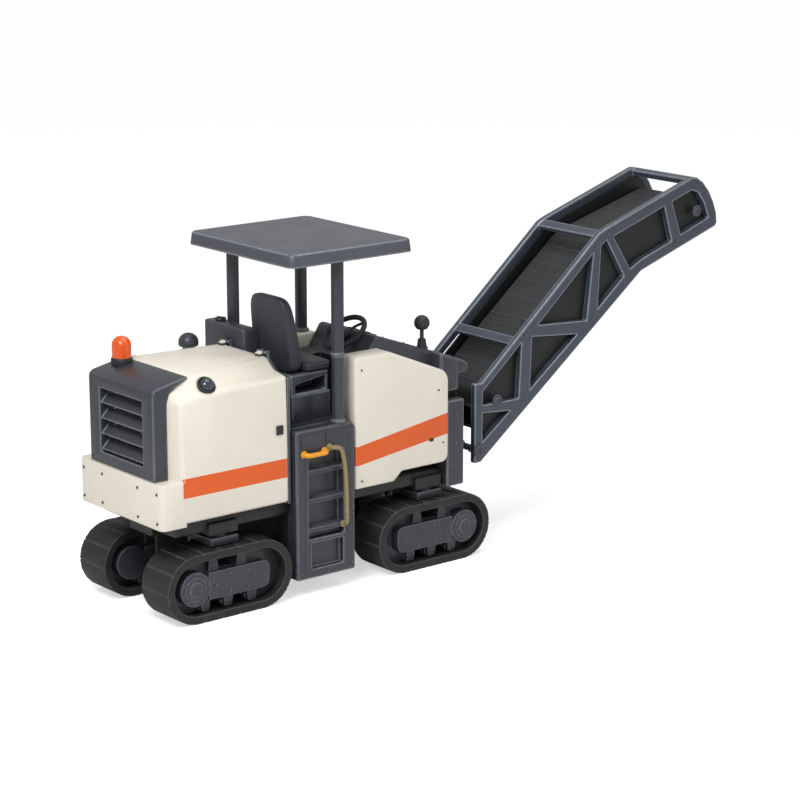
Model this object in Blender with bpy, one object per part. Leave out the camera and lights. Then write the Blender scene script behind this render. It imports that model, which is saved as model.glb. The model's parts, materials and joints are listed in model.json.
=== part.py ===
"""Compact tracked cold planer: four steered track units, an open-bottom milling
drum housing, a tipping engine hood, an open operator's station under a canopy and
a slewing, lifting discharge conveyor at the front.

Metres. +X is forward (the conveyor's end), +Y is left, +Z is up, ground at z = 0.
Tables are written in the machine's own X, measured from the rear tracks' first
ground contact; ORIGIN_X moves the whole machine so that its box is centred.
"""
import bpy
import bmesh
from math import atan2, cos, degrees, hypot, pi, radians, sin
from mathutils import Matrix, Vector

# ---------------------------------------------------------------- driving sizes
ORIGIN_X = 3.43653         # machine X that lands on the frame's X = 0
GAP = 0.0003               # between pieces that touch
SWING = 0.006              # beside pieces that move

# tracks
TRACK_HEIGHT = 0.670
TRACK_LENGTH = 1.420
TRACK_WIDTH = 0.440
TRACK_BAND = 0.078         # thickness of the loop
TRACK_SHOES = 18
SHOE_GROOVE = 0.016        # gap between shoes
SHOE_LIFT = 0.010          # shoe above the groove's floor
GAUGE = 1.075              # centre to centre across the machine
AXLE_REAR_X = 0.480
AXLE_FRONT_X = 2.950
KNUCKLE_TOP = 0.778        # where a track unit meets its leg

# chassis and body
BODY_HALF = 0.700          # half width of the white body
DECK_Z = (0.815, 0.945)    # chassis slab
DECK_X = (-0.030, 3.151)
HOOD_FRONT = 1.200
HOOD_WALL = 0.030
HINGE_X = 1.190
HINGE_Z = 2.357
LEDGE_Z = 1.366            # top of the rear bumper
BUMPER_X = -0.235
BUMPER_ROUND = 0.060
WAIST = (1.2363, 1.9797)   # platform, between bulkhead and dash
FLOOR_Z = 1.645
LADDER_Y = (0.600, 0.740)
COWL_X = (1.980, 3.150)
COWL_Y = (0.470, 0.720)
COWL_TOP = 2.248
NOSE_X = (3.1513, 3.370)
NOSE_FLOOR = 0.762         # above the steered track units

# milling drum
DRUM_X = 1.610
DRUM_Z = 0.390
DRUM_R = 0.290
DRUM_HALF = 0.500

SEAT_Y = -0.080            # middle of the seat and the steering wheel

# canopy
ROOF_X = (1.148, 2.604)
ROOF_HALF = 0.847
ROOF_Z = (3.230, 3.360)
POST_R = 0.061

# conveyor
PIN_X = 3.560              # slewing pin
LIFT_X = 3.735             # lifting tube
LIFT_Z = 1.000
SIDE_Y = (0.420, 0.490)    # side frames
BELT_HALF = 0.355
BELT_T = 0.022

COLOURS = {  # name: (r, g, b), roughness, metallic
    "cream_paint": ((0.815, 0.775, 0.690), 0.42, 0.0),
    "slate_paint": ((0.060, 0.066, 0.078), 0.45, 0.1),
    "frame_paint": ((0.105, 0.122, 0.150), 0.42, 0.2),
    "black_steel": ((0.022, 0.023, 0.025), 0.55, 0.4),
    "rubber_black": ((0.016, 0.016, 0.017), 0.80, 0.0),
    "bare_steel": ((0.300, 0.300, 0.310), 0.38, 0.9),
    "orange_lens": ((0.800, 0.110, 0.012), 0.25, 0.0),
    "lamp_glass": ((0.060, 0.085, 0.105), 0.15, 0.0),
    "yellow_paint": ((0.860, 0.370, 0.015), 0.40, 0.0),
    "tan_coating": ((0.290, 0.225, 0.110), 0.55, 0.0),
    "seat_vinyl": ((0.038, 0.040, 0.046), 0.60, 0.0),
}


# ---------------------------------------------------------------- building tools
def clear_scene():
    for ob in list(bpy.data.objects):
        bpy.data.objects.remove(ob, do_unlink=True)


def material(name):
    mat = bpy.data.materials.get(name)
    if mat:
        return mat
    colour, rough, metal = COLOURS[name]
    mat = bpy.data.materials.new(name)
    mat.use_nodes = True
    node = mat.node_tree.nodes["Principled BSDF"]
    node.inputs["Base Color"].default_value = (*colour, 1.0)
    node.inputs["Roughness"].default_value = rough
    node.inputs["Metallic"].default_value = metal
    return mat


def ring_area(ring):
    total = 0.0
    for (a0, b0), (a1, b1) in zip(ring, ring[1:] + ring[:1]):
        total += a0 * b1 - a1 * b0
    return total / 2


def place(axis, a, b, c):
    """A point from two in-plane values and one along the axis."""
    return {"x": (c, a, b), "y": (a, c, b), "z": (a, b, c)}[axis]


def prism(ring, axis, lo, hi, bevel=0.0, steps=1):
    """Closed solid: a ring of in-plane points run from lo to hi along an axis."""
    bm = bmesh.new()
    low = [bm.verts.new(place(axis, a, b, lo)) for a, b in ring]
    high = [bm.verts.new(place(axis, a, b, hi)) for a, b in ring]
    count = len(ring)
    bm.faces.new(low)
    bm.faces.new(list(reversed(high)))
    for i in range(count):
        j = (i + 1) % count
        bm.faces.new((low[j], low[i], high[i], high[j]))
    bmesh.ops.recalc_face_normals(bm, faces=bm.faces)
    if bevel:
        soften(bm, bevel, steps)
    return bm


def soften(bm, size, steps=1, angle=35):
    """Rounds every edge sharper than the angle."""
    sharp = [e for e in bm.edges if len(e.link_faces) == 2 and e.calc_face_angle() > radians(angle)]
    bmesh.ops.bevel(bm, geom=sharp, offset=size, segments=steps, profile=0.5,
                    affect="EDGES", clamp_overlap=True)


def box(x, y, z, bevel=0.0, steps=1):
    ring = [(x[0], y[0]), (x[1], y[0]), (x[1], y[1]), (x[0], y[1])]
    return prism(ring, "z", z[0], z[1], bevel, steps)


def loft(rings, axis_values, axis="x"):
    """Closed solid through equal-length rings placed along an axis."""
    bm = bmesh.new()
    rows = [[bm.verts.new(place(axis, a, b, c)) for a, b in ring]
            for ring, c in zip(rings, axis_values)]
    count = len(rings[0])
    bm.faces.new(rows[0])
    bm.faces.new(list(reversed(rows[-1])))
    for near, far in zip(rows, rows[1:]):
        for i in range(count):
            j = (i + 1) % count
            bm.faces.new((near[j], near[i], far[i], far[j]))
    bmesh.ops.recalc_face_normals(bm, faces=bm.faces)
    return bm


def rod(axis, centre, radius, lo, hi, sides=32, bevel=0.0):
    ring = [(centre[0] + radius * cos(2 * pi * i / sides),
             centre[1] + radius * sin(2 * pi * i / sides)) for i in range(sides)]
    bm = prism(ring, axis, lo, hi)
    if bevel:
        rims = [e for e in bm.edges if e.calc_face_angle() > radians(60)]
        bmesh.ops.bevel(bm, geom=rims, offset=bevel, segments=2, profile=0.5, affect="EDGES")
    return bm


def turned(profile, axis, centre, sides=32):
    """Solid of revolution; profile is (radius, height) from bottom to top."""
    bm = bmesh.new()
    rows = []
    for r, h in profile:
        if r == 0:
            rows.append([bm.verts.new(place(axis, centre[0], centre[1], h))])
            continue
        rows.append([bm.verts.new(place(axis, centre[0] + r * cos(2 * pi * i / sides),
                                        centre[1] + r * sin(2 * pi * i / sides), h))
                     for i in range(sides)])
    for near, far in zip(rows, rows[1:]):
        for i in range(sides):
            j = (i + 1) % sides
            if len(near) == 1:
                bm.faces.new((near[0], far[j], far[i]))
            elif len(far) == 1:
                bm.faces.new((near[i], near[j], far[0]))
            else:
                bm.faces.new((near[i], near[j], far[j], far[i]))
    for row in (rows[0], rows[-1]):
        if len(row) > 1:
            bm.faces.new(row)
    bmesh.ops.recalc_face_normals(bm, faces=bm.faces)
    return bm


def pipe(points, radius, sides=12):
    """Round bar along a path, capped at both ends."""
    bm = bmesh.new()
    pts = [Vector(p) for p in points]
    rows = []
    side = None
    for i, p in enumerate(pts):
        back = (p - pts[i - 1]).normalized() if i else (pts[1] - p).normalized()
        ahead = (pts[i + 1] - p).normalized() if i < len(pts) - 1 else back
        along = (back + ahead).normalized()
        stretch = 1.0 / max(0.5, along.dot(ahead))
        if side is None:
            ref = Vector((0, 0, 1)) if abs(along.z) < 0.9 else Vector((1, 0, 0))
            side = along.cross(ref).normalized()
        side = (side - along * side.dot(along)).normalized()
        other = along.cross(side)
        turn = (ahead - back)
        bend = turn.normalized() if turn.length > 1e-6 else None
        row = []
        for k in range(sides):
            a = 2 * pi * k / sides
            offset = (side * cos(a) + other * sin(a)) * radius
            if bend is not None:
                offset += bend * offset.dot(bend) * (stretch - 1.0)
            row.append(bm.verts.new(p + offset))
        rows.append(row)
    bm.faces.new(rows[0])
    bm.faces.new(list(reversed(rows[-1])))
    for near, far in zip(rows, rows[1:]):
        for k in range(sides):
            j = (k + 1) % sides
            bm.faces.new((near[j], near[k], far[k], far[j]))
    bmesh.ops.recalc_face_normals(bm, faces=bm.faces)
    return bm


def arc(centre, radius, start, end, steps):
    """In-plane points on an arc, angles in degrees."""
    out = []
    for i in range(steps + 1):
        a = radians(start + (end - start) * i / steps)
        out.append((centre[0] + radius * cos(a), centre[1] + radius * sin(a)))
    return out


def merged(parts):
    """Several closed solids that don't touch, as one cutter mesh."""
    out = bmesh.new()
    for bm in parts:
        mesh = bpy.data.meshes.new("scrap")
        bm.to_mesh(mesh)
        bm.free()
        out.from_mesh(mesh)
        bpy.data.meshes.remove(mesh)
    return out


def holder(bm, name="scrap"):
    mesh = bpy.data.meshes.new(name)
    bm.to_mesh(mesh)
    bm.free()
    ob = bpy.data.objects.new(name, mesh)
    bpy.context.scene.collection.objects.link(ob)
    return ob


def combine(first, second, how):
    """EXACT Boolean of two closed solids; how is UNION or DIFFERENCE."""
    a = holder(first)
    b = holder(second)
    mod = a.modifiers.new("cut", "BOOLEAN")
    mod.operation = how
    mod.solver = "EXACT"
    mod.object = b
    bpy.context.view_layer.update()
    result = a.evaluated_get(bpy.context.evaluated_depsgraph_get())
    mesh = bpy.data.meshes.new_from_object(result)
    bm = bmesh.new()
    bm.from_mesh(mesh)
    bmesh.ops.remove_doubles(bm, verts=bm.verts, dist=0.00002)
    for ob in (a, b):
        bpy.data.objects.remove(ob, do_unlink=True)
    bpy.data.meshes.remove(mesh)
    return bm


def union(*parts):
    out = parts[0]
    for bm in parts[1:]:
        out = combine(out, bm, "UNION")
    return out


def minus(body, *cutters):
    for bm in cutters:
        body = combine(body, bm, "DIFFERENCE")
    return body


def mirrored(bm):
    """The same solid on the other side of the centre plane."""
    out = bm.copy()
    for v in out.verts:
        v.co.y = -v.co.y
    bmesh.ops.reverse_faces(out, faces=out.faces)
    return out


PIVOTS = {}


def pivot(name, x, y, z, parent="machine"):
    """Empty on a joint's axis."""
    ob = bpy.data.objects.new(name, None)
    bpy.context.scene.collection.objects.link(ob)
    base = PIVOTS.get(parent)
    origin = base[1] if base else Vector((0.0, 0.0, 0.0))
    ob.location = Vector((x, y, z)) - origin
    if base:
        ob.parent = base[0]
    PIVOTS[name] = (ob, Vector((x, y, z)))


def piece(name, bm, colour, on="machine", smooth=28):
    """Named node hung on a joint's empty, its mesh kept in machine coordinates."""
    bmesh.ops.triangulate(bm, faces=[f for f in bm.faces if len(f.verts) > 4])
    ob = holder(bm, name)
    ob.data.materials.append(material(colour))
    for face in ob.data.polygons:
        face.use_smooth = True
    ob.data.set_sharp_from_angle(angle=radians(smooth))
    ob.parent = PIVOTS[on][0]
    ob.location = -PIVOTS[on][1]
    return ob


# ---------------------------------------------------------------- tracks
def stadium(radius, half_run, steps, centre_z):
    ring = arc((half_run, centre_z), radius, -90, 90, steps)
    return ring + arc((-half_run, centre_z), radius, 90, 270, steps)


def stadium_point(s, radius, half_run, centre_z):
    """Point and outward normal at arc length s along a stadium, from its bottom middle."""
    run = 2 * half_run
    bend = pi * radius
    total = 2 * run + 2 * bend
    s = s % total
    if s < half_run:
        return (s, centre_z - radius), (0.0, -1.0)
    s -= half_run
    if s < bend:
        a = -pi / 2 + s / radius
        return (half_run + radius * cos(a), centre_z + radius * sin(a)), (cos(a), sin(a))
    s -= bend
    if s < run:
        return (half_run - s, centre_z + radius), (0.0, 1.0)
    s -= run
    if s < bend:
        a = pi / 2 + s / radius
        return (-half_run + radius * cos(a), centre_z + radius * sin(a)), (cos(a), sin(a))
    s -= bend
    return (-half_run + s, centre_z - radius), (0.0, -1.0)


def track_ring():
    """Outer edge of a loop: flat shoes with a groove between each pair."""
    radius = TRACK_HEIGHT / 2
    half_run = TRACK_LENGTH / 2 - radius
    total = 4 * half_run + 2 * pi * radius
    pitch = total / TRACK_SHOES
    ring = []
    steps = 2
    for i in range(TRACK_SHOES):
        start = (i + 0.5) * pitch
        for k in range(steps + 1):
            s = start + SHOE_GROOVE / 2 + (pitch - SHOE_GROOVE) * k / steps
            p, n = stadium_point(s, radius, half_run, radius)
            ring.append(p)
        for edge in (0.25, 0.75):
            s = start + pitch + (edge - 0.5) * SHOE_GROOVE * 0.9
            p, n = stadium_point(s, radius, half_run, radius)
            ring.append((p[0] - n[0] * SHOE_LIFT, p[1] - n[1] * SHOE_LIFT))
    return ring


def build_track_loop(cx, cy):
    radius = TRACK_HEIGHT / 2
    half_run = TRACK_LENGTH / 2 - radius
    outer = [(cx + a, b) for a, b in track_ring()]
    inner = [(cx + a, b) for a, b in stadium(radius - TRACK_BAND, half_run, 12, radius)]
    half = TRACK_WIDTH / 2
    bm = bmesh.new()
    rows = []
    for y in (cy - half, cy + half):
        rows.append(([bm.verts.new((a, y, b)) for a, b in outer],
                     [bm.verts.new((a, y, b)) for a, b in inner]))
    for loop in (0, 1):
        near, far = rows[0][loop], rows[1][loop]
        for i in range(len(near)):
            j = (i + 1) % len(near)
            bm.faces.new((near[i], near[j], far[j], far[i]))
    for outer_row, inner_row in rows:
        edges = []
        for row in (outer_row, inner_row):
            for i in range(len(row)):
                a, b = row[i], row[(i + 1) % len(row)]
                edges.append(bm.edges.get((a, b)))
        bmesh.ops.triangle_fill(bm, edges=edges, use_beauty=True, use_dissolve=False)
    bmesh.ops.recalc_face_normals(bm, faces=bm.faces)
    return bm


def build_track_frame(cx, cy, hub_side):
    """Side frames, hub, idler, rollers and the knuckle that meets the leg."""
    radius = TRACK_HEIGHT / 2
    inside = radius - TRACK_BAND
    half_run = TRACK_LENGTH / 2 - radius
    inner_side = -1 if cy > 0 else 1
    s = hub_side
    wheel = inside * cos(pi / 24) - GAP
    body = prism([(cx + s * a, b) for a, b in
                  ((-0.40, 0.20), (0.30, 0.20), (0.30, 0.47), (-0.40, 0.47))],
                 "y", cy - 0.110, cy + 0.110)
    adds = [rod("y", (cx + s * half_run, radius), wheel, cy - 0.085, cy + 0.085, 24),
            rod("y", (cx - s * half_run, radius), wheel, cy - 0.085, cy + 0.085, 24),
            rod("y", (cx + s * (half_run + 0.015), radius), 0.165, cy - 0.205, cy + 0.205, 24)]
    bar = ([(cx + s * 0.235, 0.205), (cx + s * 0.235, 0.465)]
           + [(cx + s * a, b) for a, b in arc((-0.385, 0.395), 0.070, 90, 180, 4)]
           + [(cx + s * a, b) for a, b in arc((-0.385, 0.275), 0.070, 180, 270, 4)])
    adds.append(prism(bar, "y", cy - 0.200, cy + 0.200))
    for roll_x in (-0.27, 0.0, 0.26):
        adds.append(rod("y", (cx + s * roll_x, TRACK_BAND + GAP * 2 + 0.060), 0.060,
                        cy - 0.120, cy + 0.120, 10))
        post = ((cx + s * (roll_x - 0.038), 0.094), (cx + s * (roll_x + 0.038), 0.094),
                (cx + s * (roll_x + 0.066), 0.25), (cx + s * (roll_x - 0.066), 0.25))
        adds.append(prism(list(post), "y", cy - 0.165, cy + 0.165))
    for roll_x in (-0.17, 0.15):
        adds.append(rod("y", (cx + s * roll_x, TRACK_HEIGHT - TRACK_BAND - GAP * 2 - 0.045),
                        0.045, cy - 0.110, cy + 0.110, 8))
        post = ((cx + s * (roll_x - 0.06), 0.44), (cx + s * (roll_x + 0.06), 0.44),
                (cx + s * (roll_x + 0.042), 0.572), (cx + s * (roll_x - 0.042), 0.572))
        adds.append(prism(list(post), "y", cy - 0.145, cy + 0.145))
    # knuckle: inner cheek beside the track, bridge over it, king pin into the leg
    cheek = sorted((cy + inner_side * 0.228, cy + inner_side * 0.272))
    arm = [(cx - 0.15, 0.24), (cx + 0.15, 0.24), (cx + 0.15, 0.755), (cx - 0.15, 0.755)]
    adds.append(prism(arm, "y", cheek[0], cheek[1]))
    span = sorted((cy - inner_side * 0.13, cy + inner_side * 0.272))
    adds.append(box((cx - 0.15, cx + 0.15), span, (0.686, 0.755)))
    stub = sorted((cy + inner_side * 0.18, cy + inner_side * 0.24))
    adds.append(rod("y", (cx, 0.335), 0.085, stub[0], stub[1], 12))
    adds.append(rod("z", (cx, cy), 0.090, 0.72, KNUCKLE_TOP - GAP, 16))
    return union(body, *adds)


# ---------------------------------------------------------------- chassis and drum
def build_chassis():
    slab = box(DECK_X, (-0.600, 0.600), DECK_Z, 0.010)
    parts = [slab]
    for keel_x in ((-0.02, 1.245), (1.970, 3.10)):
        parts.append(box(keel_x, (-0.190, 0.190), (0.735, 0.850), 0.008))
    for cx in (AXLE_REAR_X, AXLE_FRONT_X):
        for side in (-1, 1):
            cy = side * GAUGE / 2
            leg = box((cx - 0.165, cx + 0.165), (cy - 0.120, cy + 0.120),
                      (KNUCKLE_TOP, 0.900), 0.010)
            parts.append(leg)
    return union(*parts)


def build_drum_housing():
    """Open-bottomed box round the drum, hung under the platform."""
    x = (1.262, 1.955)
    shell = box(x, (-0.597, 0.597), (0.215, 0.8147), 0.008)
    room = box((x[0] + 0.022, x[1] - 0.022), (-0.575, 0.575), (0.10, 0.795))
    return minus(shell, room)


def build_drum():
    """Core with three rings of holders; picks are added on the dressed model."""
    core = rod("y", (DRUM_X, DRUM_Z), DRUM_R, -DRUM_HALF, DRUM_HALF, 32)
    shaft = rod("y", (DRUM_X, DRUM_Z), 0.075, -0.5747, 0.5747, 16)
    return union(core, shaft)


# ---------------------------------------------------------------- hood
HOOD_SECTIONS = (  # x, then half width and z of the shoulder, the valley and the crown
    (0.004, (0.675, 2.106), (0.590, 2.150), (0.500, 2.205)),
    (0.195, (0.677, 2.122), (0.612, 2.168), (0.515, 2.304)),
    (0.350, (0.679, 2.140), (0.618, 2.184), (0.495, 2.308)),
    (HOOD_FRONT, (0.685, 2.186), (0.490, 2.222), (0.372, 2.320)),
)
HOOD_WAIST_Z = 1.50
HOOD_FLOOR = 0.968


def hood_ring(profile, floor_z):
    """Cross-section from (half width, z) rows running up the right side."""
    right = [(-profile[0][0], floor_z)] + [(-a, b) for a, b in profile]
    return right + [(-a, b) for a, b in reversed(right)]


def hood_solid(grow=0.0):
    """Outside of the hood above its bumper, as a solid."""
    tail = ((0.545, 1.40), (0.530, 2.060), (0.515, 2.120), (0.500, 2.180))
    rows = [hood_ring([(a + grow, b + grow) for a, b in tail], HOOD_FLOOR)]
    values = [-0.060]
    for x, *rises in HOOD_SECTIONS:
        profile = [(BODY_HALF + grow, HOOD_WAIST_Z)]
        profile += [(a + grow, b + grow) for a, b in rises]
        rows.append(hood_ring(profile, HOOD_FLOOR))
        values.append(x)
    shell = loft(rows, values)
    soften(shell, 0.018, 1, 18)
    bmesh.ops.triangulate(shell, faces=shell.faces, quad_method="FIXED", ngon_method="BEAUTY")
    return shell


LAMP_SPOT = Vector((0.345, 0.598, 2.212))
LAMP_TILT = 45


def lamp_pocket(side):
    bm = rod("z", (0.0, 0.0), 0.0905, -0.0203, 0.10, 20)
    turn = Matrix.Rotation(radians(-side * LAMP_TILT), 4, "X")
    spot = Vector((LAMP_SPOT.x, side * LAMP_SPOT.y, LAMP_SPOT.z))
    bmesh.ops.transform(bm, matrix=Matrix.Translation(spot) @ turn, verts=bm.verts)
    return bm


def build_hood():
    tail = ((0.500, 1.40), (0.490, 2.030), (0.480, 2.080), (0.470, 2.130))
    inner_rows = [hood_ring(tail, 0.900)]
    inner_x = [-0.020]
    for x, shoulder, valley, crown in HOOD_SECTIONS:
        profile = ((BODY_HALF - HOOD_WALL, HOOD_WAIST_Z),
                   (shoulder[0] - HOOD_WALL, shoulder[1] - 0.022),
                   (valley[0] - 0.018, valley[1] - HOOD_WALL),
                   (crown[0] - 0.010, crown[1] - HOOD_WALL))
        inner_rows.append(hood_ring(profile, 0.900))
        inner_x.append(x + 0.10 if x == HOOD_FRONT else x + 0.040)
    shell = hood_solid()
    plan = [(0.034, -BODY_HALF), (0.034, BODY_HALF)]
    plan += arc((BUMPER_X + BUMPER_ROUND, BODY_HALF - BUMPER_ROUND), BUMPER_ROUND, 90, 180, 4)
    plan += arc((BUMPER_X + BUMPER_ROUND, BUMPER_ROUND - BODY_HALF), BUMPER_ROUND, 180, 270, 4)
    bumper = prism(plan, "z", 0.940, LEDGE_Z)
    shell = union(shell, bumper)
    room = loft(inner_rows, inner_x)
    shell = minus(shell, room)
    shell = minus(shell, box((BUMPER_X + 0.035, 0.130), (-0.660, 0.660), (0.80, 1.331), 0.012))
    seat = prism(grille_ring(0.0007), "y", -0.5407, 0.5407)
    shell = minus(shell, seat)
    shell = minus(shell, box((-0.10, 0.05), (-0.350, 0.350), (1.49, 2.03)))
    for side in (-1, 1):
        y = sorted((side * 0.27, side * 0.33))
        ring = arc((HINGE_X, HINGE_Z), 0.0127, -90, 90, 6)
        ring += [(HINGE_X - 0.055, HINGE_Z - 0.006), (HINGE_X - 0.060, 2.306),
                 (HINGE_X - 0.002, 2.307)]
        shell = union(shell, prism(ring, "y", y[0], y[1]))
        shell = minus(shell, lamp_pocket(side))
    return shell


def grille_ring(grow=0.0):
    """Side outline of the grille housing: upright face, deck, point, undercut."""
    g = grow
    return [(-0.205 - g, 1.3663 - g), (-0.205 - g, 2.175), (-0.196 - g, 2.212 + g),
            (-0.165, 2.236 + g), (0.175, 2.307 + g), (0.193 + g, 2.306),
            (0.175, 2.288 - g), (0.050, 2.235 - g), (-0.020 + g, 2.170 - g),
            (-0.046 + g, 2.100), (-0.052 + g, 2.020), (-0.052 + g, 1.3663 - g)]


def build_grille():
    body = prism(grille_ring(), "y", -0.540, 0.540, 0.010)
    body = minus(body, box((-0.30, -0.02), (-0.360, 0.360), (1.480, 2.100)))
    for z in (1.555, 1.705, 1.855, 2.005):
        blade = [(-0.185, z - 0.050), (-0.175, z - 0.062), (-0.090, z + 0.028), (-0.100, z + 0.040)]
        body = union(body, prism(blade, "y", -0.365, 0.365))
    return body


def build_beacon():
    base = 2.2915
    profile = [(0.0, base - 0.03), (0.100, base - 0.03), (0.104, base + 0.012), (0.100, base + 0.040),
               (0.094, base + 0.048), (0.092, base + 0.060), (0.092, base + 0.170),
               (0.084, base + 0.205), (0.062, base + 0.233), (0.030, base + 0.248),
               (0.0, base + 0.252)]
    lamp = turned(profile, "z", (0.080, 0.400), 20)
    deck = [(-0.165, 2.236 + GAP), (0.193, 2.236 + GAP + 0.358 * 0.20882), (0.193, 2.1),
            (-0.165, 2.1)]
    return minus(lamp, prism(deck, "y", 0.2, 0.6))


# ---------------------------------------------------------------- operator's station
def build_bulkhead():
    half = [(-0.680, DECK_Z[1] + GAP), (-0.680, 2.165), (-0.487, 2.203), (-0.365, 2.300)]
    outline = half + [(-a, b) for a, b in reversed(half)]
    plate = prism(outline, "x", 1.2053, 1.2360)
    for side in (-1, 1):
        for lug_y in (0.2514, 0.3486):
            y = sorted((side * (lug_y - 0.018), side * (lug_y + 0.018)))
            ring = arc((HINGE_X, HINGE_Z), 0.0125, 90, 270, 6)
            ring += [(1.2090, HINGE_Z - 0.0125), (1.2090, 2.270), (1.2345, 2.270),
                     (1.2345, HINGE_Z + 0.0125)]
            plate = union(plate, prism(ring, "y", y[0], y[1]))
    return plate


def build_tank():
    ring = [(1.2364, FLOOR_Z + GAP), (1.420, FLOOR_Z + GAP), (1.420, 2.410), (1.390, 2.500),
            (1.2364, 2.500)]
    return prism(ring, "y", 0.055, 0.715, 0.022, 3)


def build_seat_box():
    body = box((1.450, 1.900), (-0.405, 0.220), (FLOOR_Z + GAP, 2.100), 0.012)
    step = box((1.450, 1.915), (-0.420, 0.220), (FLOOR_Z + GAP, 1.900), 0.010)
    body = union(body, step)
    pocket = prism([(1.500, 1.915), (1.865, 1.915), (1.865, 2.055), (1.820, 2.045),
                    (1.500, 2.000)], "y", -0.50, -0.17)
    return minus(body, pocket)


def build_seat_back():
    """Tall rounded back, leaning slightly, tapered toward its top."""
    rings = []
    heights = []
    for z, half, depth, lean, in ((2.1003, 0.270, 0.150, 0.000), (2.230, 0.300, 0.165, -0.010),
                                  (2.620, 0.285, 0.135, -0.075), (2.775, 0.258, 0.110, -0.100),
                                  (2.835, 0.200, 0.062, -0.108)):
        x = 1.550 + lean
        y = SEAT_Y
        ring = []
        for cx, cy, start in ((1, 1, 0), (-1, 1, 90), (-1, -1, 180), (1, -1, 270)):
            r = min(0.035, depth * 0.4)
            centre = (x + cx * (depth / 2 - r), y + cy * (half - r))
            ring += arc(centre, r, start, start + 90, 3)
        rings.append(ring)
        heights.append(z)
    bm = loft(rings, heights, "z")
    soften(bm, 0.018, 2, 40)
    return bm


def build_bonnet():
    """Dark centre body ahead of the dash, its top sloping down toward the nose."""
    ring = [(1.985, DECK_Z[1] + GAP), (1.985, 2.075), (2.005, 2.100), (2.300, 2.130),
            (2.430, 2.335), (2.465, 2.352), (2.500, 2.344), (3.1500, 2.113),
            (3.1500, DECK_Z[1] + GAP)]
    body = prism(ring, "y", -0.4690, 0.4690)
    top = [e for e in body.edges if all(v.co.z > 2.0 for v in e.verts)
           and all(abs(abs(v.co.y) - 0.469) < 1e-4 for v in e.verts)
           and abs(e.verts[0].co.y - e.verts[1].co.y) < 1e-4]
    bmesh.ops.bevel(body, geom=top, offset=0.045, segments=3, profile=0.5, affect="EDGES")
    well = [(1.90, FLOOR_Z), (2.420, FLOOR_Z), (2.420, 1.950), (2.250, 2.050), (2.250, 2.60),
            (1.90, 2.60)]
    return minus(body, prism(well, "y", SEAT_Y - 0.260, SEAT_Y + 0.260))


def build_cowl():
    """White side pod beside the bonnet; this is the right-hand one."""
    ring = ([(1.985, DECK_Z[1] + GAP), (2.463, DECK_Z[1] + GAP), (2.563, 1.035)]
            + arc((3.070, 1.115), 0.080, -90, 0, 5)
            + arc((3.010, 1.850), 0.140, 0, 68, 6)
            + [(2.415, COWL_TOP)] + arc((2.030, COWL_TOP - 0.045), 0.045, 90, 180, 4))
    return prism(ring, "y", -COWL_Y[1], -COWL_Y[0] - GAP, 0.022, 3)


def build_ladder():
    """Side panel with a recessed ladder; this is the right-hand one."""
    y = (-LADDER_Y[1], -LADDER_Y[0] - GAP)
    ring = [(1.262, 0.170), (1.962, 0.170), (1.962, 1.600), (1.930, FLOOR_Z), (1.285, FLOOR_Z),
            (1.262, 1.625)]
    panel = prism(ring, "y", y[0], y[1], 0.012)
    recess = box((1.405, 1.825), (-0.80, -0.640), (0.560, 1.400))
    lower = box((1.435, 1.815), (-0.80, -0.672), (0.262, 0.520))
    panel = minus(panel, merged([recess, lower]))
    for z in (0.640, 0.930, 1.215):
        rung = box((1.395, 1.835), (-0.728, -0.630), (z - 0.022, z + 0.022), 0.006)
        panel = union(panel, rung)
    return panel


def build_step_rail():
    points = [(1.650, -0.7403, 1.440), (1.650, -0.785, 1.440), (1.705, -0.802, 1.437),
              (1.748, -0.802, 1.400), (1.778, -0.802, 1.300), (1.795, -0.802, 1.180),
              (1.805, -0.802, 1.000), (1.812, -0.802, 0.690), (1.812, -0.785, 0.650),
              (1.812, -0.7403, 0.650)]
    return pipe(points, 0.022, 12)


def build_grab_handle():
    points = [(1.350, -0.7403, 1.412), (1.350, -0.775, 1.412), (1.378, -0.800, 1.408),
              (1.562, -0.800, 1.408), (1.590, -0.775, 1.412), (1.590, -0.7403, 1.412)]
    return pipe(points, 0.024, 12)


STEER = (2.344, -0.080, 2.345)   # wheel's centre
STEER_TILT = radians(33)


def tilted(bm):
    """From a frame with the wheel flat at the origin to its place on the column."""
    turn = Matrix.Rotation(-STEER_TILT, 4, "Y")
    bmesh.ops.transform(bm, matrix=Matrix.Translation(Vector(STEER)) @ turn, verts=bm.verts)
    return bm


def build_steering_wheel():
    rim_r = 0.222
    tube_r = 0.027
    rim = bmesh.new()
    rows = []
    for i in range(32):
        a = 2 * pi * i / 32
        row = []
        for k in range(8):
            b = 2 * pi * k / 8
            r = rim_r + tube_r * cos(b)
            row.append(rim.verts.new((r * cos(a), r * sin(a), tube_r * sin(b))))
        rows.append(row)
    for i in range(32):
        for k in range(8):
            a, b = rows[i], rows[(i + 1) % 32]
            j = (k + 1) % 8
            rim.faces.new((a[k], b[k], b[j], a[j]))
    bmesh.ops.recalc_face_normals(rim, faces=rim.faces)
    hub = rod("z", (0.0, 0.0), 0.058, -0.045, 0.006, 16)
    wheel = union(rim, hub)
    for angle in (90, 210, 330):
        spoke = box((0.040, rim_r), (-0.026, 0.026), (-0.020, -0.002))
        bmesh.ops.rotate(spoke, cent=(0, 0, 0), verts=spoke.verts,
                         matrix=Matrix.Rotation(radians(angle), 3, "Z"))
        wheel = union(wheel, spoke)
    return tilted(wheel)


def build_column():
    bm = tilted(rod("z", (0.0, 0.0), 0.036, -0.220, -0.045 - GAP, 20))
    return minus(bm, prism([(1.90, 1.80), (1.90, 2.095), (2.005, 2.1003), (2.300, 2.1303),
                            (2.430, 2.3353), (2.465, 2.3523), (2.60, 2.31), (2.60, 1.80)],
                           "y", -0.40, 0.20))


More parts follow.
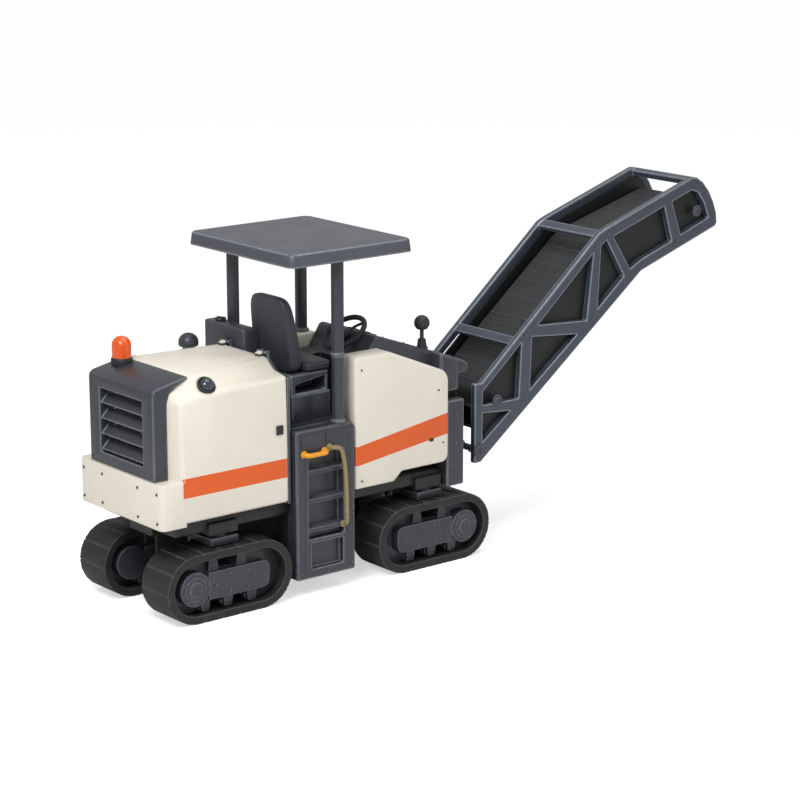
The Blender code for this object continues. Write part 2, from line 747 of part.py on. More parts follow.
def build_lever():
    x, y, z = 3.088, -0.375, 2.080
    profile = [(0.0, z), (0.060, z), (0.060, z + 0.070), (0.044, z + 0.084), (0.040, z + 0.225),
               (0.036, z + 0.238), (0.058, z + 0.262), (0.078, z + 0.305), (0.070, z + 0.350),
               (0.044, z + 0.376), (0.0, z + 0.386)]
    bm = turned(profile, "z", (x, y), 16)
    slope = [(2.90, 1.90), (2.90, 2.344 - 0.40 * 0.35538 + GAP * 2), (3.15, 2.1130 + GAP * 2),
             (3.25, 2.1130 - 0.10 * 0.35538 + GAP * 2), (3.25, 1.90)]
    return minus(bm, prism(slope, "y", -0.50, 0.0))


# ---------------------------------------------------------------- canopy
POSTS = (  # name, x, y, foot z
    ("canopy_post_rear_left", 1.505, 0.600, FLOOR_Z + GAP),
    ("canopy_post_front_left", 2.330, 0.600, COWL_TOP + GAP),
    ("canopy_post_right", 1.815, -0.665, FLOOR_Z + GAP),
)


def build_post(x, y, foot, top):
    if foot < 2.0:
        mid = 2.290
        profile = [(0.0, foot), (0.080, foot), (0.080, foot + 0.022), (POST_R, foot + 0.030),
                   (POST_R, mid), (POST_R + 0.008, mid + 0.006), (POST_R + 0.008, mid + 0.026),
                   (POST_R, mid + 0.032), (POST_R, top), (0.0, top)]
    else:
        profile = [(0.0, foot), (0.080, foot), (0.080, foot + 0.022), (POST_R, foot + 0.030),
                   (POST_R, top), (0.0, top)]
    return turned(profile, "z", (x, y), 16)


def rounded_rect(x, y, radius, steps=5):
    ring = []
    for cx, cy, start in ((1, 1, 0), (0, 1, 90), (0, 0, 180), (1, 0, 270)):
        centre = (x[cx] + (radius if cx == 0 else -radius),
                  y[cy] + (radius if cy == 0 else -radius))
        ring += arc(centre, radius, start, start + 90, steps)
    return ring


def build_roof():
    """Shallow pan: tapered edge, slightly crowned top."""
    rings = []
    heights = []
    for z, inset, radius in ((ROOF_Z[0], 0.055, 0.050), (ROOF_Z[0] + 0.030, 0.016, 0.070),
                             (ROOF_Z[1] - 0.035, 0.000, 0.080), (ROOF_Z[1] - 0.010, 0.012, 0.080),
                             (ROOF_Z[1], 0.045, 0.070)):
        rings.append(rounded_rect((ROOF_X[0] + inset, ROOF_X[1] - inset),
                                  (-ROOF_HALF + inset, ROOF_HALF - inset), radius))
        heights.append(z)
    return loft(rings, heights, "z")


# ---------------------------------------------------------------- nose and conveyor
def build_nose():
    x0, x1 = NOSE_X
    base = box((x0, 3.245), (-BODY_HALF, BODY_HALF), (NOSE_FLOOR, 1.640), 0.010)
    cheeks = []
    for side in (-1, 1):
        y = sorted((side * 0.590, side * BODY_HALF))
        cheeks.append(box((3.18, x1), y, (NOSE_FLOOR, 1.640), 0.012))
    crown = prism([(x0, 1.60), (x0, 2.1125), (3.300, 2.060), (3.345, 2.035), (3.372, 1.990),
                   (3.380, 1.940), (3.380, 1.705), (3.236, 1.705), (3.236, 1.60)],
                  "y", -0.600, 0.600, 0.016)
    arm = prism([(3.25, 1.700), (3.25, 2.070), (3.360, 2.030), (3.520, 1.975), (3.600, 1.940),
                 (3.632, 1.905), (3.632, 1.850), (3.600, 1.824), (3.480, 1.818), (3.420, 1.790),
                 (3.388, 1.735), (3.380, 1.700)], "y", -0.450, 0.450, 0.012)
    shelf = prism([(3.20, 0.860), (3.640, 0.890), (3.640, 0.970), (3.20, 0.970)],
                  "y", -0.120, 0.120, 0.008)
    return union(base, *cheeks, crown, arm, shelf)


def build_yoke():
    column = rod("z", (PIN_X, 0.0), 0.070, 0.970 + GAP, 1.818 - 0.0035, 20)
    plate = box((3.500, 3.612), (-0.225, 0.225), (0.978, 1.150), 0.006)
    out = union(column, plate)
    for side in (-1, 1):
        y = sorted((side * 0.175, side * 0.225))
        lug = [(3.520, 0.985), (3.520, 1.140), (3.640, 1.140)]
        lug += arc((LIFT_X, LIFT_Z), 0.058, 60, -90, 8) + [(3.640, 0.948)]
        out = union(out, prism(lug, "y", y[0], y[1]))
    bore = rod("y", (LIFT_X, LIFT_Z), 0.0353, -0.30, 0.30, 24)
    return minus(out, bore)


SIDE_OUTLINE = [(3.690, 0.866), (3.775, 0.866), (5.989, 2.571), (6.080, 2.602), (7.085, 2.930),
                (7.109, 2.965), (7.096, 3.075), (7.050, 3.190), (6.975, 3.320), (6.880, 3.425),
                (6.790, 3.482), (6.720, 3.490), (5.470, 3.082), (5.371, 3.040), (3.784, 1.690),
                (3.690, 1.690)]
SIDE_WINDOWS = {  # name: corners (x, z)
    "tail_low": [(3.792, 1.068), (3.792, 1.375), (4.168, 1.345)],
    "tail_high": [(3.792, 1.458), (3.792, 1.598), (4.312, 2.034), (4.281, 1.452)],
    "bay_1": [(4.452, 2.075), (5.085, 2.015), (4.431, 1.520)],
    "bay_2": [(4.530, 2.186), (5.295, 2.845), (5.214, 2.142)],
    "bay_3": [(5.398, 2.905), (5.478, 2.958), (5.740, 2.545), (5.365, 2.240)],
    "bay_4": [(5.570, 2.985), (6.310, 3.226), (6.430, 2.840), (5.975, 2.690), (5.825, 2.610)],
    "head": [(6.420, 3.262), (6.700, 3.354), (6.800, 3.330), (6.905, 3.200), (6.975, 3.035),
             (6.560, 2.892)],
}
# belt run: centre line halfway between its two strands (x, z), at tail, kink and head
BELT_LINE = ((3.985, 1.480), (5.610, 2.800), (6.790, 3.125))
PULLEY_R = 0.118


def shifted(line, distance):
    """A three-point line moved sideways; positive is up."""
    (ax, az), (bx, bz), (cx, cz) = line

    def normal(p, q):
        length = hypot(q[0] - p[0], q[1] - p[1])
        return (-(q[1] - p[1]) / length, (q[0] - p[0]) / length)
    n0 = normal((ax, az), (bx, bz))
    n1 = normal((bx, bz), (cx, cz))
    mid = (n0[0] + n1[0], n0[1] + n1[1])
    scale = 2 / (mid[0] ** 2 + mid[1] ** 2)
    return [(ax + n0[0] * distance, az + n0[1] * distance),
            (bx + mid[0] * scale * distance, bz + mid[1] * scale * distance),
            (cx + n1[0] * distance, cz + n1[1] * distance)]


def belt_ring(radius):
    """Outline of the belt round both pulleys at a given distance from the line."""
    (ax, az), (bx, bz), (cx, cz) = BELT_LINE
    low = shifted(BELT_LINE, -radius)
    high = shifted(BELT_LINE, radius)
    climb = degrees(atan2(bz - az, bx - ax))
    rise = degrees(atan2(cz - bz, cx - bx))
    head = arc((cx, cz), radius, rise - 90, rise + 90, 20)
    tail = arc((ax, az), radius, climb + 90, climb + 270, 20)
    return [low[1]] + head + [high[1]] + tail


def build_conveyor_frame():
    sides = []
    for sign in (-1, 1):
        y = sorted((sign * SIDE_Y[0], sign * SIDE_Y[1]))
        plate = prism(SIDE_OUTLINE, "y", y[0], y[1], 0.008)
        cut = [prism(list(ring), "y", y[0] - 0.05, y[1] + 0.05) for ring in SIDE_WINDOWS.values()]
        sides.append(minus(plate, merged(cut)))
    out = sides[0]
    reach = SIDE_Y[0] + 0.020
    bars = (  # x, z, half length along the chord, half height, slope
        (4.245, 2.040, 0.052, 0.028, 40.4), (5.400, 3.010, 0.055, 0.028, 30.0),
        (6.760, 3.440, 0.045, 0.034, 14.0), (5.985, 2.625, 0.040, 0.025, 28.0),
        (7.020, 2.958, 0.045, 0.026, 18.0))
    for x, z, run, rise, slope in bars:
        ring = [(-run, -rise), (run, -rise), (run, rise), (-run, rise)]
        c, s = cos(radians(slope)), sin(radians(slope))
        ring = [(x + a * c - b * s, z + a * s + b * c) for a, b in ring]
        out = union(out, prism(ring, "y", -reach, reach, 0.006))
    out = union(out, rod("y", (LIFT_X, LIFT_Z), 0.035, -reach, reach, 24))
    return union(out, sides[1])


TROUGH_LINE = [(3.800, 0.925), (5.960, 2.590), (7.020, 2.936)]
TROUGH_TOP = [(6.690, 3.395), (5.445, 2.985), (3.830, 1.615)]


def build_trough():
    """Side sheets and the floor sheet below the belt, open at the top and both ends."""
    outer_y = SIDE_Y[0] - GAP
    inner_y = outer_y - 0.020
    ring = TROUGH_LINE + [(7.035, 3.020), (6.960, 3.190), (6.860, 3.330), (6.780, 3.390)]
    ring += TROUGH_TOP + [(3.800, 1.580)]
    body = prism(ring, "y", -outer_y, outer_y)
    floor = [(3.60, 0.800), (3.760, 0.928), (5.952, 2.612), (6.965, 2.947), (7.060, 2.978),
             (7.30, 3.05), (7.30, 3.60), (5.00, 3.60), (3.60, 2.40)]
    room = prism(floor, "y", -inner_y, inner_y)
    body = minus(body, room)
    notch = box((3.70, 4.02), (-0.260, 0.260), (0.80, 1.16))
    body = minus(body, notch)
    bars = []
    for x, z in ((4.245, 2.040), (5.400, 3.010), (6.760, 3.440), (5.985, 2.625), (7.020, 2.958)):
        bars.append(rod("y", (x, z), 0.064, -0.50, 0.50, 16))
    return minus(body, merged(bars))


def build_belt():
    outer = belt_ring(PULLEY_R + GAP * 3 + BELT_T)
    inner = belt_ring(PULLEY_R + GAP * 3)
    body = prism(outer, "y", -BELT_HALF, BELT_HALF)
    return minus(body, prism(inner, "y", -BELT_HALF - 0.02, BELT_HALF + 0.02))


def build_pulley(centre):
    drum = rod("y", centre, PULLEY_R, -BELT_HALF + 0.01, BELT_HALF - 0.01, 24)
    end = SIDE_Y[0] - 0.0206
    return union(drum, rod("y", centre, 0.035, -end, end, 12))


# ---------------------------------------------------------------- assembly
TRACK_UNITS = (  # name, axle x, side, hub toward (+1 front, -1 rear)
    ("front_left", AXLE_FRONT_X, 1, 1), ("front_right", AXLE_FRONT_X, -1, 1),
    ("rear_left", AXLE_REAR_X, 1, -1), ("rear_right", AXLE_REAR_X, -1, -1),
)


def assemble():
    clear_scene()
    pivot("machine", 0.0, 0.0, 0.0, None)
    PIVOTS["machine"][0].location.x = -ORIGIN_X
    pivot("hood_hinge", HINGE_X, 0.0, HINGE_Z)
    pivot("drum_axle", DRUM_X, 0.0, DRUM_Z)
    pivot("steering_axis", *STEER)
    pivot("slew_pin", PIN_X, 0.0, 1.0)
    pivot("lift_tube", LIFT_X, 0.0, LIFT_Z, "slew_pin")
    for name, cx, side, hub in TRACK_UNITS:
        cy = side * GAUGE / 2
        on = "steer_" + name
        pivot(on, cx, cy, 0.75)
        piece("track_frame_" + name, build_track_frame(cx, cy, hub), "slate_paint", on)
        piece("track_loop_" + name, build_track_loop(cx, cy), "rubber_black", on)
    piece("chassis_frame", build_chassis(), "black_steel")
    piece("drum_housing", build_drum_housing(), "black_steel")
    piece("milling_drum", build_drum(), "bare_steel", "drum_axle")
    piece("engine_block", box((0.150, 1.050), (-0.420, 0.420), (DECK_Z[1] + GAP, 1.780), 0.02),
          "black_steel")
    piece("engine_hood", build_hood(), "cream_paint", "hood_hinge")
    piece("grille_housing", build_grille(), "slate_paint", "hood_hinge")
    piece("beacon", build_beacon(), "orange_lens", "hood_hinge")
    for side, label in ((1, "left"), (-1, "right")):
        piece("hood_lamp_" + label, build_lamp(side), "lamp_glass", "hood_hinge")
    piece("air_precleaner", build_precleaner(), "slate_paint", "hood_hinge")
    piece("bulkhead", build_bulkhead(), "slate_paint")
    piece("hydraulic_tank", build_tank(), "slate_paint")
    piece("platform", box((WAIST[0], WAIST[1]), (-0.5997, 0.5997),
                          (DECK_Z[1] + GAP, FLOOR_Z), 0.004), "slate_paint")
    piece("seat_box", build_seat_box(), "slate_paint")
    piece("seat_cushion", box((1.640, 1.925), (-0.415, 0.215), (2.1003, 2.195), 0.020, 2), "seat_vinyl")
    piece("seat_back", build_seat_back(), "seat_vinyl")
    piece("front_bonnet", build_bonnet(), "slate_paint")
    cowl = build_cowl()
    piece("front_cowl_left", mirrored(cowl), "cream_paint")
    piece("front_cowl_right", cowl, "cream_paint")
    for label, build, colour in (("ladder", build_ladder, "slate_paint"),
                                 ("step_rail", build_step_rail, "tan_coating"),
                                 ("grab_handle", build_grab_handle, "yellow_paint")):
        right = build()
        piece(label + "_left", mirrored(right), colour)
        piece(label + "_right", right, colour)
    piece("steering_column", build_column(), "black_steel")
    piece("steering_wheel", build_steering_wheel(), "rubber_black", "steering_axis")
    piece("control_lever", build_lever(), "black_steel")
    for name, x, y, foot in POSTS:
        piece(name, build_post(x, y, foot, ROOF_Z[0] - GAP), "slate_paint")
    piece("canopy_roof", build_roof(), "slate_paint")
    piece("nose_frame", build_nose(), "slate_paint")
    piece("slew_yoke", build_yoke(), "slate_paint", "slew_pin")
    piece("conveyor_frame", build_conveyor_frame(), "frame_paint", "lift_tube")
    piece("conveyor_trough", build_trough(), "black_steel", "lift_tube")
    piece("conveyor_belt", build_belt(), "rubber_black", "lift_tube")
    piece("tail_pulley", build_pulley(BELT_LINE[0]), "bare_steel", "lift_tube")
    piece("head_pulley", build_pulley(BELT_LINE[2]), "bare_steel", "lift_tube")


def build_lamp(side):
    """Domed work lamp let into the hood's shoulder."""
    profile = [(0.0, -0.020), (0.087, -0.020), (0.090, 0.006), (0.076, 0.040), (0.045, 0.062),
               (0.0, 0.070)]
    lamp = turned(profile, "z", (0.0, 0.0), 20)
    lift = Vector((LAMP_SPOT.x, side * LAMP_SPOT.y, LAMP_SPOT.z))
    turn = Matrix.Rotation(radians(-side * LAMP_TILT), 4, "X")
    bmesh.ops.transform(lamp, matrix=Matrix.Translation(lift) @ turn, verts=lamp.verts)
    return lamp


def build_precleaner():
    z = 2.180
    profile = [(0.0, z), (0.060, z), (0.060, z + 0.105), (0.094, z + 0.115), (0.098, z + 0.140),
               (0.090, z + 0.190), (0.060, z + 0.226), (0.0, z + 0.240)]
    cap = turned(profile, "z", (0.960, 0.585), 20)
    return minus(cap, hood_solid(GAP * 1.5))


assemble()
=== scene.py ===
"""Looks of the compact tracked cold planer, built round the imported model.

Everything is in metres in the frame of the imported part: +X toward the conveyor's end,
+Y left, +Z up, ground at z = 0. at(x) turns the machine's own X, measured from the rear
tracks' first ground contact, into the frame's X.
"""
import json
from math import atan2, cos, pi, radians, sin

import bmesh
import bpy
from mathutils import Matrix, Vector

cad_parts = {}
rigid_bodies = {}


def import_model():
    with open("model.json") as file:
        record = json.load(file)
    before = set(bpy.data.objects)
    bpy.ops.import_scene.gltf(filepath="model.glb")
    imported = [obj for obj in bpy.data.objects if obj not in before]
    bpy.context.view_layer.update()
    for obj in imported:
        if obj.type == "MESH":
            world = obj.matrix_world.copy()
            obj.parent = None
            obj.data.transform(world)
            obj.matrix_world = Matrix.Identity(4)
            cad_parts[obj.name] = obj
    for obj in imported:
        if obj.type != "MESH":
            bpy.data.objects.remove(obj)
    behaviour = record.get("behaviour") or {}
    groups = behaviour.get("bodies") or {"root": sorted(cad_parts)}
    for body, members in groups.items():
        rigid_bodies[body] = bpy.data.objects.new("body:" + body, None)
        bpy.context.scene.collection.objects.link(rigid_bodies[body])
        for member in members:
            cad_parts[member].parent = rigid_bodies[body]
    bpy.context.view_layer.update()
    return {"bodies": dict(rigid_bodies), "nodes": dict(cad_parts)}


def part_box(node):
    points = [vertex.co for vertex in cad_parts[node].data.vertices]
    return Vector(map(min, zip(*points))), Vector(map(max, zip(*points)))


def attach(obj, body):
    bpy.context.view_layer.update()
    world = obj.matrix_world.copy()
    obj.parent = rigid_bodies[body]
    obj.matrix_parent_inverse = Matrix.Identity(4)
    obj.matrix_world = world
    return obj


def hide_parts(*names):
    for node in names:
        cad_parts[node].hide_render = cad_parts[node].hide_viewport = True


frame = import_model()
NODES = frame["nodes"]
BUMPER_REAR = -0.235                      # machine X of the rearmost point
X0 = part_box("engine_hood")[0].x - BUMPER_REAR

# places of the machine, in machine coordinates, that several pieces share
SEAT_Y = -0.100
STEER = (2.344, -0.080, 2.345)            # centre of the steering wheel
STEER_TILT = 33                           # degrees
HINGE = (1.190, 2.357)                    # hood hinge (x, z)
HINGE_YS = (-0.30, 0.30)
SLEW_X = 3.560                            # slewing pin
LIFT = (3.735, 1.000)                     # lifting tube (x, z)
BELT_LINE = ((3.985, 1.480), (5.610, 2.800), (6.790, 3.125))     # tail, kink, head (x, z)
BELT_SIDE = 0.1412                        # from the belt's line to its outer face
HUB_Z = 0.335                             # centre height of the tracks
TRACK_Y = 0.5375                          # centre of a track off the middle
HOOD_FACE, PANEL_FACE, COWL_FACE, TRUSS_FACE = 0.7002, 0.7402, 0.7202, 0.4902
BUMPER_FACE, GRILLE_FACE = -0.2352, -0.2052
FLOOR_TOP = 1.6452
BEACON_SPOT = (0.080, 0.400)
BEACON_Z = 2.2915
LAMP_SPOT = (0.345, 0.598, 2.212)
LAMP_TILT = 45
BONNET_CREST = (2.500, 2.344)             # top of the bonnet's long slope (x, z)
BONNET_FALL = 0.35538                     # fall of that slope per metre
ROOF = ((1.148, 2.604), 0.847, (3.230, 3.360))                   # x, half width, z

def at(x):
    return x + X0


# ---------------------------------------------------------------- mesh tools
def prism(ring, axis, lo, hi, bevel=0.0, steps=2):
    """Outline extruded along an axis; ring holds the other two coordinates in order."""
    bm = bmesh.new()

    def spot(a, b, c):
        return {"x": (c, a, b), "y": (a, c, b), "z": (a, b, c)}[axis]
    low = [bm.verts.new(spot(a, b, lo)) for a, b in ring]
    high = [bm.verts.new(spot(a, b, hi)) for a, b in ring]
    bm.faces.new(low)
    bm.faces.new(high)
    for i in range(len(ring)):
        j = (i + 1) % len(ring)
        bm.faces.new((low[i], low[j], high[j], high[i]))
    bmesh.ops.recalc_face_normals(bm, faces=bm.faces)
    if bevel:
        sharp = [e for e in bm.edges if e.calc_face_angle(0.0) > radians(25)]
        bmesh.ops.bevel(bm, geom=sharp, offset=bevel, segments=steps, profile=0.5,
                        affect="EDGES", clamp_overlap=True)
    return bm


def box(x, y, z, bevel=0.0, steps=2):
    return prism([(x[0], y[0]), (x[1], y[0]), (x[1], y[1]), (x[0], y[1])], "z", z[0], z[1],
                 bevel, steps)


def turned(profile, centre, sides=48):
    """Closed solid of revolution about Z; profile rows are (radius, height)."""
    bm = bmesh.new()
    rows = []
    for r, h in profile:
        if r < 1e-6:
            rows.append([bm.verts.new((centre[0], centre[1], h))])
            continue
        rows.append([bm.verts.new((centre[0] + r * cos(2 * pi * i / sides),
                                   centre[1] + r * sin(2 * pi * i / sides), h))
                     for i in range(sides)])
    for a, b in zip(rows, rows[1:]):
        for i in range(sides):
            j = (i + 1) % sides
            corners = {a[i % len(a)], a[j % len(a)], b[j % len(b)], b[i % len(b)]}
            ring = [a[i % len(a)], a[j % len(a)], b[j % len(b)], b[i % len(b)]]
            ring = [v for k, v in enumerate(ring) if v not in ring[:k]]
            if len(corners) >= 3:
                bm.faces.new(ring)
    bmesh.ops.recalc_face_normals(bm, faces=bm.faces)
    return bm


def moved(bm, matrix):
    bmesh.ops.transform(bm, matrix=matrix, verts=bm.verts)
    return bm


def laid(bm, centre, axis):
    """Turns a piece made along Z at the origin to lie along axis at centre."""
    turn = Vector((0, 0, 1)).rotation_difference(Vector(axis)).to_matrix().to_4x4()
    return moved(bm, Matrix.Translation(Vector(centre)) @ turn)


def disc(centre, axis, radius, thick, bevel=0.003, sides=40):
    """Round plate from centre outward along axis, its rim rounded."""
    profile = [(0, 0), (radius, 0), (radius, thick - bevel), (radius - bevel, thick), (0, thick)]
    return laid(turned(profile, (0, 0), sides), centre, axis)


def hexagon(centre, axis, size, height):
    """Bolt head with its washer."""
    washer = turned([(0, 0), (size * 1.25, 0), (size * 1.25, height * 0.25), (0, height * 0.25)],
                    (0, 0), 16)
    ring = [(size * cos(pi * k / 3), size * sin(pi * k / 3)) for k in range(6)]
    head = prism(ring, "z", height * 0.2, height, size * 0.12, 1)
    return laid(merged([washer, head]), centre, axis)


def merged(parts):
    bm = bmesh.new()
    for part in parts:
        scrap = bpy.data.meshes.new("scrap")
        part.to_mesh(scrap)
        bm.from_mesh(scrap)
        bpy.data.meshes.remove(scrap)
        part.free()
    return bm


def mirrored(bm):
    """Copy of a right-hand piece for the left side; the given mesh stays."""
    twin = bm.copy()
    moved(twin, Matrix.Scale(-1, 4, (0, 1, 0)))
    bmesh.ops.reverse_faces(twin, faces=twin.faces)
    return twin


def smooth_path(points, steps):
    """Catmull-Rom curve through the points."""
    pts = [Vector(p) for p in points]
    pts = [2 * pts[0] - pts[1]] + pts + [2 * pts[-1] - pts[-2]]
    out = []
    for i in range(1, len(pts) - 2):
        a, b, c, d = pts[i - 1:i + 3]
        for k in range(steps):
            t = k / steps
            out.append(0.5 * (2 * b + (c - a) * t + (2 * a - 5 * b + 4 * c - d) * t * t
                              + (3 * b - a - 3 * c + d) * t ** 3))
    out.append(pts[-2])
    return out


def swept(path, section, up=(0, 1, 0)):
    """Section of (across, up) pairs carried along a path of points."""
    bm = bmesh.new()
    rows = []
    for i, p in enumerate(path):
        ahead = path[min(i + 1, len(path) - 1)] - path[max(i - 1, 0)]
        ahead.normalize()
        side = Vector(up).cross(ahead).normalized()
        over = ahead.cross(side)
        rows.append([bm.verts.new(p + side * a + over * b) for a, b in section])
    for a, b in zip(rows, rows[1:]):
        for k in range(len(section)):
            j = (k + 1) % len(section)
            bm.faces.new((a[k], a[j], b[j], b[k]))
    bm.faces.new(rows[0])
    bm.faces.new(rows[-1])
    bmesh.ops.recalc_face_normals(bm, faces=bm.faces)
    return bm


def oval(a, b, sides=20):
    return [(a * cos(2 * pi * k / sides), b * sin(2 * pi * k / sides)) for k in range(sides)]


def torus(radius, tube, rounds=96, sides=20):
    bm = bmesh.new()
    rows = []
    for i in range(rounds):
        a = 2 * pi * i / rounds
        rows.append([bm.verts.new(((radius + tube * cos(b)) * cos(a),
                                   (radius + tube * cos(b)) * sin(a), tube * sin(b)))
                     for b in (2 * pi * k / sides for k in range(sides))])
    for i in range(rounds):
        a, b = rows[i], rows[(i + 1) % rounds]
        for k in range(sides):
            j = (k + 1) % sides
            bm.faces.new((a[k], b[k], b[j], a[j]))
    bmesh.ops.recalc_face_normals(bm, faces=bm.faces)
    return bm


def arc(centre, radius, start, end, steps):
    out = []
    for i in range(steps + 1):
        a = radians(start + (end - start) * i / steps)
        out.append((centre[0] + radius * cos(a), centre[1] + radius * sin(a)))
    return out


def piece(name, bm, mat, body, smooth=32, replaces=(), soft=False):
    """Finished object: material, shading, the body it rides on, the nodes it stands for."""
    mesh = bpy.data.meshes.new(name)
    bm.to_mesh(mesh)
    bm.free()
    mesh.materials.append(mat)
    for face in mesh.polygons:
        face.use_smooth = True
    mesh.set_sharp_from_angle(angle=radians(smooth))
    ob = bpy.data.objects.new(name, mesh)
    bpy.context.scene.collection.objects.link(ob)
    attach(ob, body)
    if replaces:
        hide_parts(*replaces)
    return ob


# ---------------------------------------------------------------- materials
def linear(code):
    """Linear colour from a six-digit screen colour."""
    out = []
    for k in (0, 2, 4):
        c = int(code[k:k + 2], 16) / 255
        out.append(c / 12.92 if c <= 0.04045 else ((c + 0.055) / 1.055) ** 2.4)
    return (*out, 1.0)


class Look:
    """Node material with a Principled shader and short calls for the usual nodes."""

    def __init__(self, name, colour, rough, metal=0.0):
        self.mat = bpy.data.materials.new(name)
        self.mat.use_nodes = True
        self.tree = self.mat.node_tree
        self.shader = self.tree.nodes["Principled BSDF"]
        self.shader.inputs["Metallic"].default_value = metal
        coords = self.tree.nodes.new("ShaderNodeTexCoord")
        self.place = coords.outputs["Object"]
        self.colour = self.value_colour(colour)
        self.rough = rough

    def add(self, kind, **props):
        node = self.tree.nodes.new("ShaderNode" + kind)
        for key, value in props.items():
            setattr(node, key, value)
        return node

    def join(self, value, socket):
        """Links an output to a socket, or writes a constant on it."""
        if hasattr(value, "is_linked"):
            self.tree.links.new(value, socket)
        else:
            socket.default_value = value

    def value_colour(self, code):
        return linear(code) if isinstance(code, str) else code

    def noise(self, scale, detail=4.0, rough=0.55, stretch=None):
        node = self.add("TexNoise")
        place = self.place
        if stretch:
            mapping = self.add("Mapping")
            self.join(place, mapping.inputs["Vector"])
            mapping.inputs["Scale"].default_value = stretch
            place = mapping.outputs["Vector"]
        self.join(place, node.inputs["Vector"])
        node.inputs["Scale"].default_value = scale
        node.inputs["Detail"].default_value = detail
        node.inputs["Roughness"].default_value = rough
        return node.outputs["Fac"]

    def math(self, how, a, b=0.0, c=0.0):
        node = self.add("Math", operation=how)
        for value, socket in zip((a, b, c), node.inputs):
            self.join(value, socket)
        return node.outputs[0]

    def ramp(self, value, lo, hi, to=(0.0, 1.0)):
        node = self.add("MapRange")
        self.join(value, node.inputs["Value"])
        node.inputs["From Min"].default_value = lo
        node.inputs["From Max"].default_value = hi
        node.inputs["To Min"].default_value = to[0]
        node.inputs["To Max"].default_value = to[1]
        return node.outputs["Result"]

    def mix(self, factor, a, b):
        node = self.add("Mix", data_type="RGBA")
        self.join(factor, node.inputs["Factor"])
        self.join(self.value_colour(a), node.inputs["A"])
        self.join(self.value_colour(b), node.inputs["B"])
        return node.outputs["Result"]

    def axes(self):
        node = self.add("SeparateXYZ")
        self.join(self.place, node.inputs["Vector"])
        return node.outputs["X"], node.outputs["Y"], node.outputs["Z"]

    def edges(self, radius, gain=3.0):
        """1 along edges and 0 on flats, and the rounded normal that goes with it."""
        bevel = self.add("Bevel", samples=6)
        bevel.inputs["Radius"].default_value = radius
        plain = self.add("NewGeometry")
        dot = self.add("VectorMath", operation="DOT_PRODUCT")
        self.join(bevel.outputs["Normal"], dot.inputs[0])
        self.join(plain.outputs["Normal"], dot.inputs[1])
        self.normal = bevel.outputs["Normal"]
        off = self.math("SUBTRACT", 1.0, dot.outputs["Value"])
        return self.ramp(off, 0.0012, 0.12 / gain)

    def bump(self, height, strength, distance=0.001):
        node = self.add("Bump")
        self.join(height, node.inputs["Height"])
        node.inputs["Strength"].default_value = strength
        node.inputs["Distance"].default_value = distance
        if getattr(self, "normal", None) is not None:
            self.join(self.normal, node.inputs["Normal"])
        self.normal = node.outputs["Normal"]

    def vary(self, scale, dark, light, detail=5.0):
        """Soft patches: the colour swings between a darker and a lighter tint of itself."""
        patches = self.ramp(self.noise(scale, detail), 0.30, 0.70)
        shade = self.mix(patches, (dark, dark, dark, 1), (light, light, light, 1))
        node = self.add("Mix", data_type="RGBA", blend_type="MULTIPLY")
        node.inputs["Factor"].default_value = 1.0
        self.join(self.colour, node.inputs["A"])
        self.join(shade, node.inputs["B"])
        self.colour = node.outputs["Result"]

    def over(self, factor, code):
        self.colour = self.mix(factor, self.colour, code)

    def done(self, **sockets):
        self.join(self.colour, self.shader.inputs["Base Color"])
        self.join(self.rough, self.shader.inputs["Roughness"])
        if getattr(self, "normal", None) is not None:
            self.join(self.normal, self.shader.inputs["Normal"])
        for key, value in sockets.items():
            self.shader.inputs[key.replace("_", " ")].default_value = value
        return self.mat


def rough_patches(look, base, swing, scale=3.0):
    look.rough = look.ramp(look.noise(scale, 6.0), 0.3, 0.7, (base - swing, base + swing))


def low_dust(look, low, high, amount, code="7A756B"):
    """Thin road dust that fades out with height and breaks up in patches."""
    z = look.axes()[2]
    fade = look.ramp(z, low, high, (amount, 0.0))
    patchy = look.ramp(look.noise(9.0, 8.0, 0.7), 0.42, 0.70)
    look.over(look.math("MULTIPLY", fade, patchy), code)


def painted(name, code, edge_highlight_code, rough=0.42, metal=0.0, radius=0.010, edge=0.35, dust=0.10,
            stripe=None):
    """Sprayed paint: orange peel, soft tone patches, a painted highlight of lighter colour along the edges,
    dust low down.
    """
    look = Look(name, code, rough, metal)
    look.vary(1.3, 0.955, 1.03)
    look.vary(14.0, 0.985, 1.012, 8.0)
    if stripe:
        stripe(look)
    # Lighter colour along the edges is a painted highlight; noise breaks up its strength in patches.
    rim = look.edges(radius)
    highlight_patches = look.ramp(look.noise(16.0, 6.0, 0.65), 0.30, 0.66)
    strength = look.math("MULTIPLY", rim, look.ramp(highlight_patches, 0.0, 1.0, (edge * 0.6, edge)))
    look.over(strength, edge_highlight_code)
    low_dust(look, 0.0, 1.35, dust)
    rough_patches(look, rough, 0.05)
    look.bump(look.noise(260.0, 2.0), 0.10, 0.0006)
    look.bump(look.noise(5.0, 2.0), 0.05, 0.004)
    return look.done(Coat_Weight=0.12, Coat_Roughness=0.25)


STRIPE = "E65C00"


def hood_stripe(look):
    """Level band on both sides of the hood."""
    x, y, z = look.axes()
    inside = look.math("GREATER_THAN", x, at(0.004))
    for how, edge in (("GREATER_THAN", 1.213), ("LESS_THAN", 1.399)):
        inside = look.math("MULTIPLY", inside, look.math(how, z, edge))
    side = look.math("GREATER_THAN", look.math("ABSOLUTE", y), 0.66)
    look.over(look.math("MULTIPLY", inside, side), STRIPE)


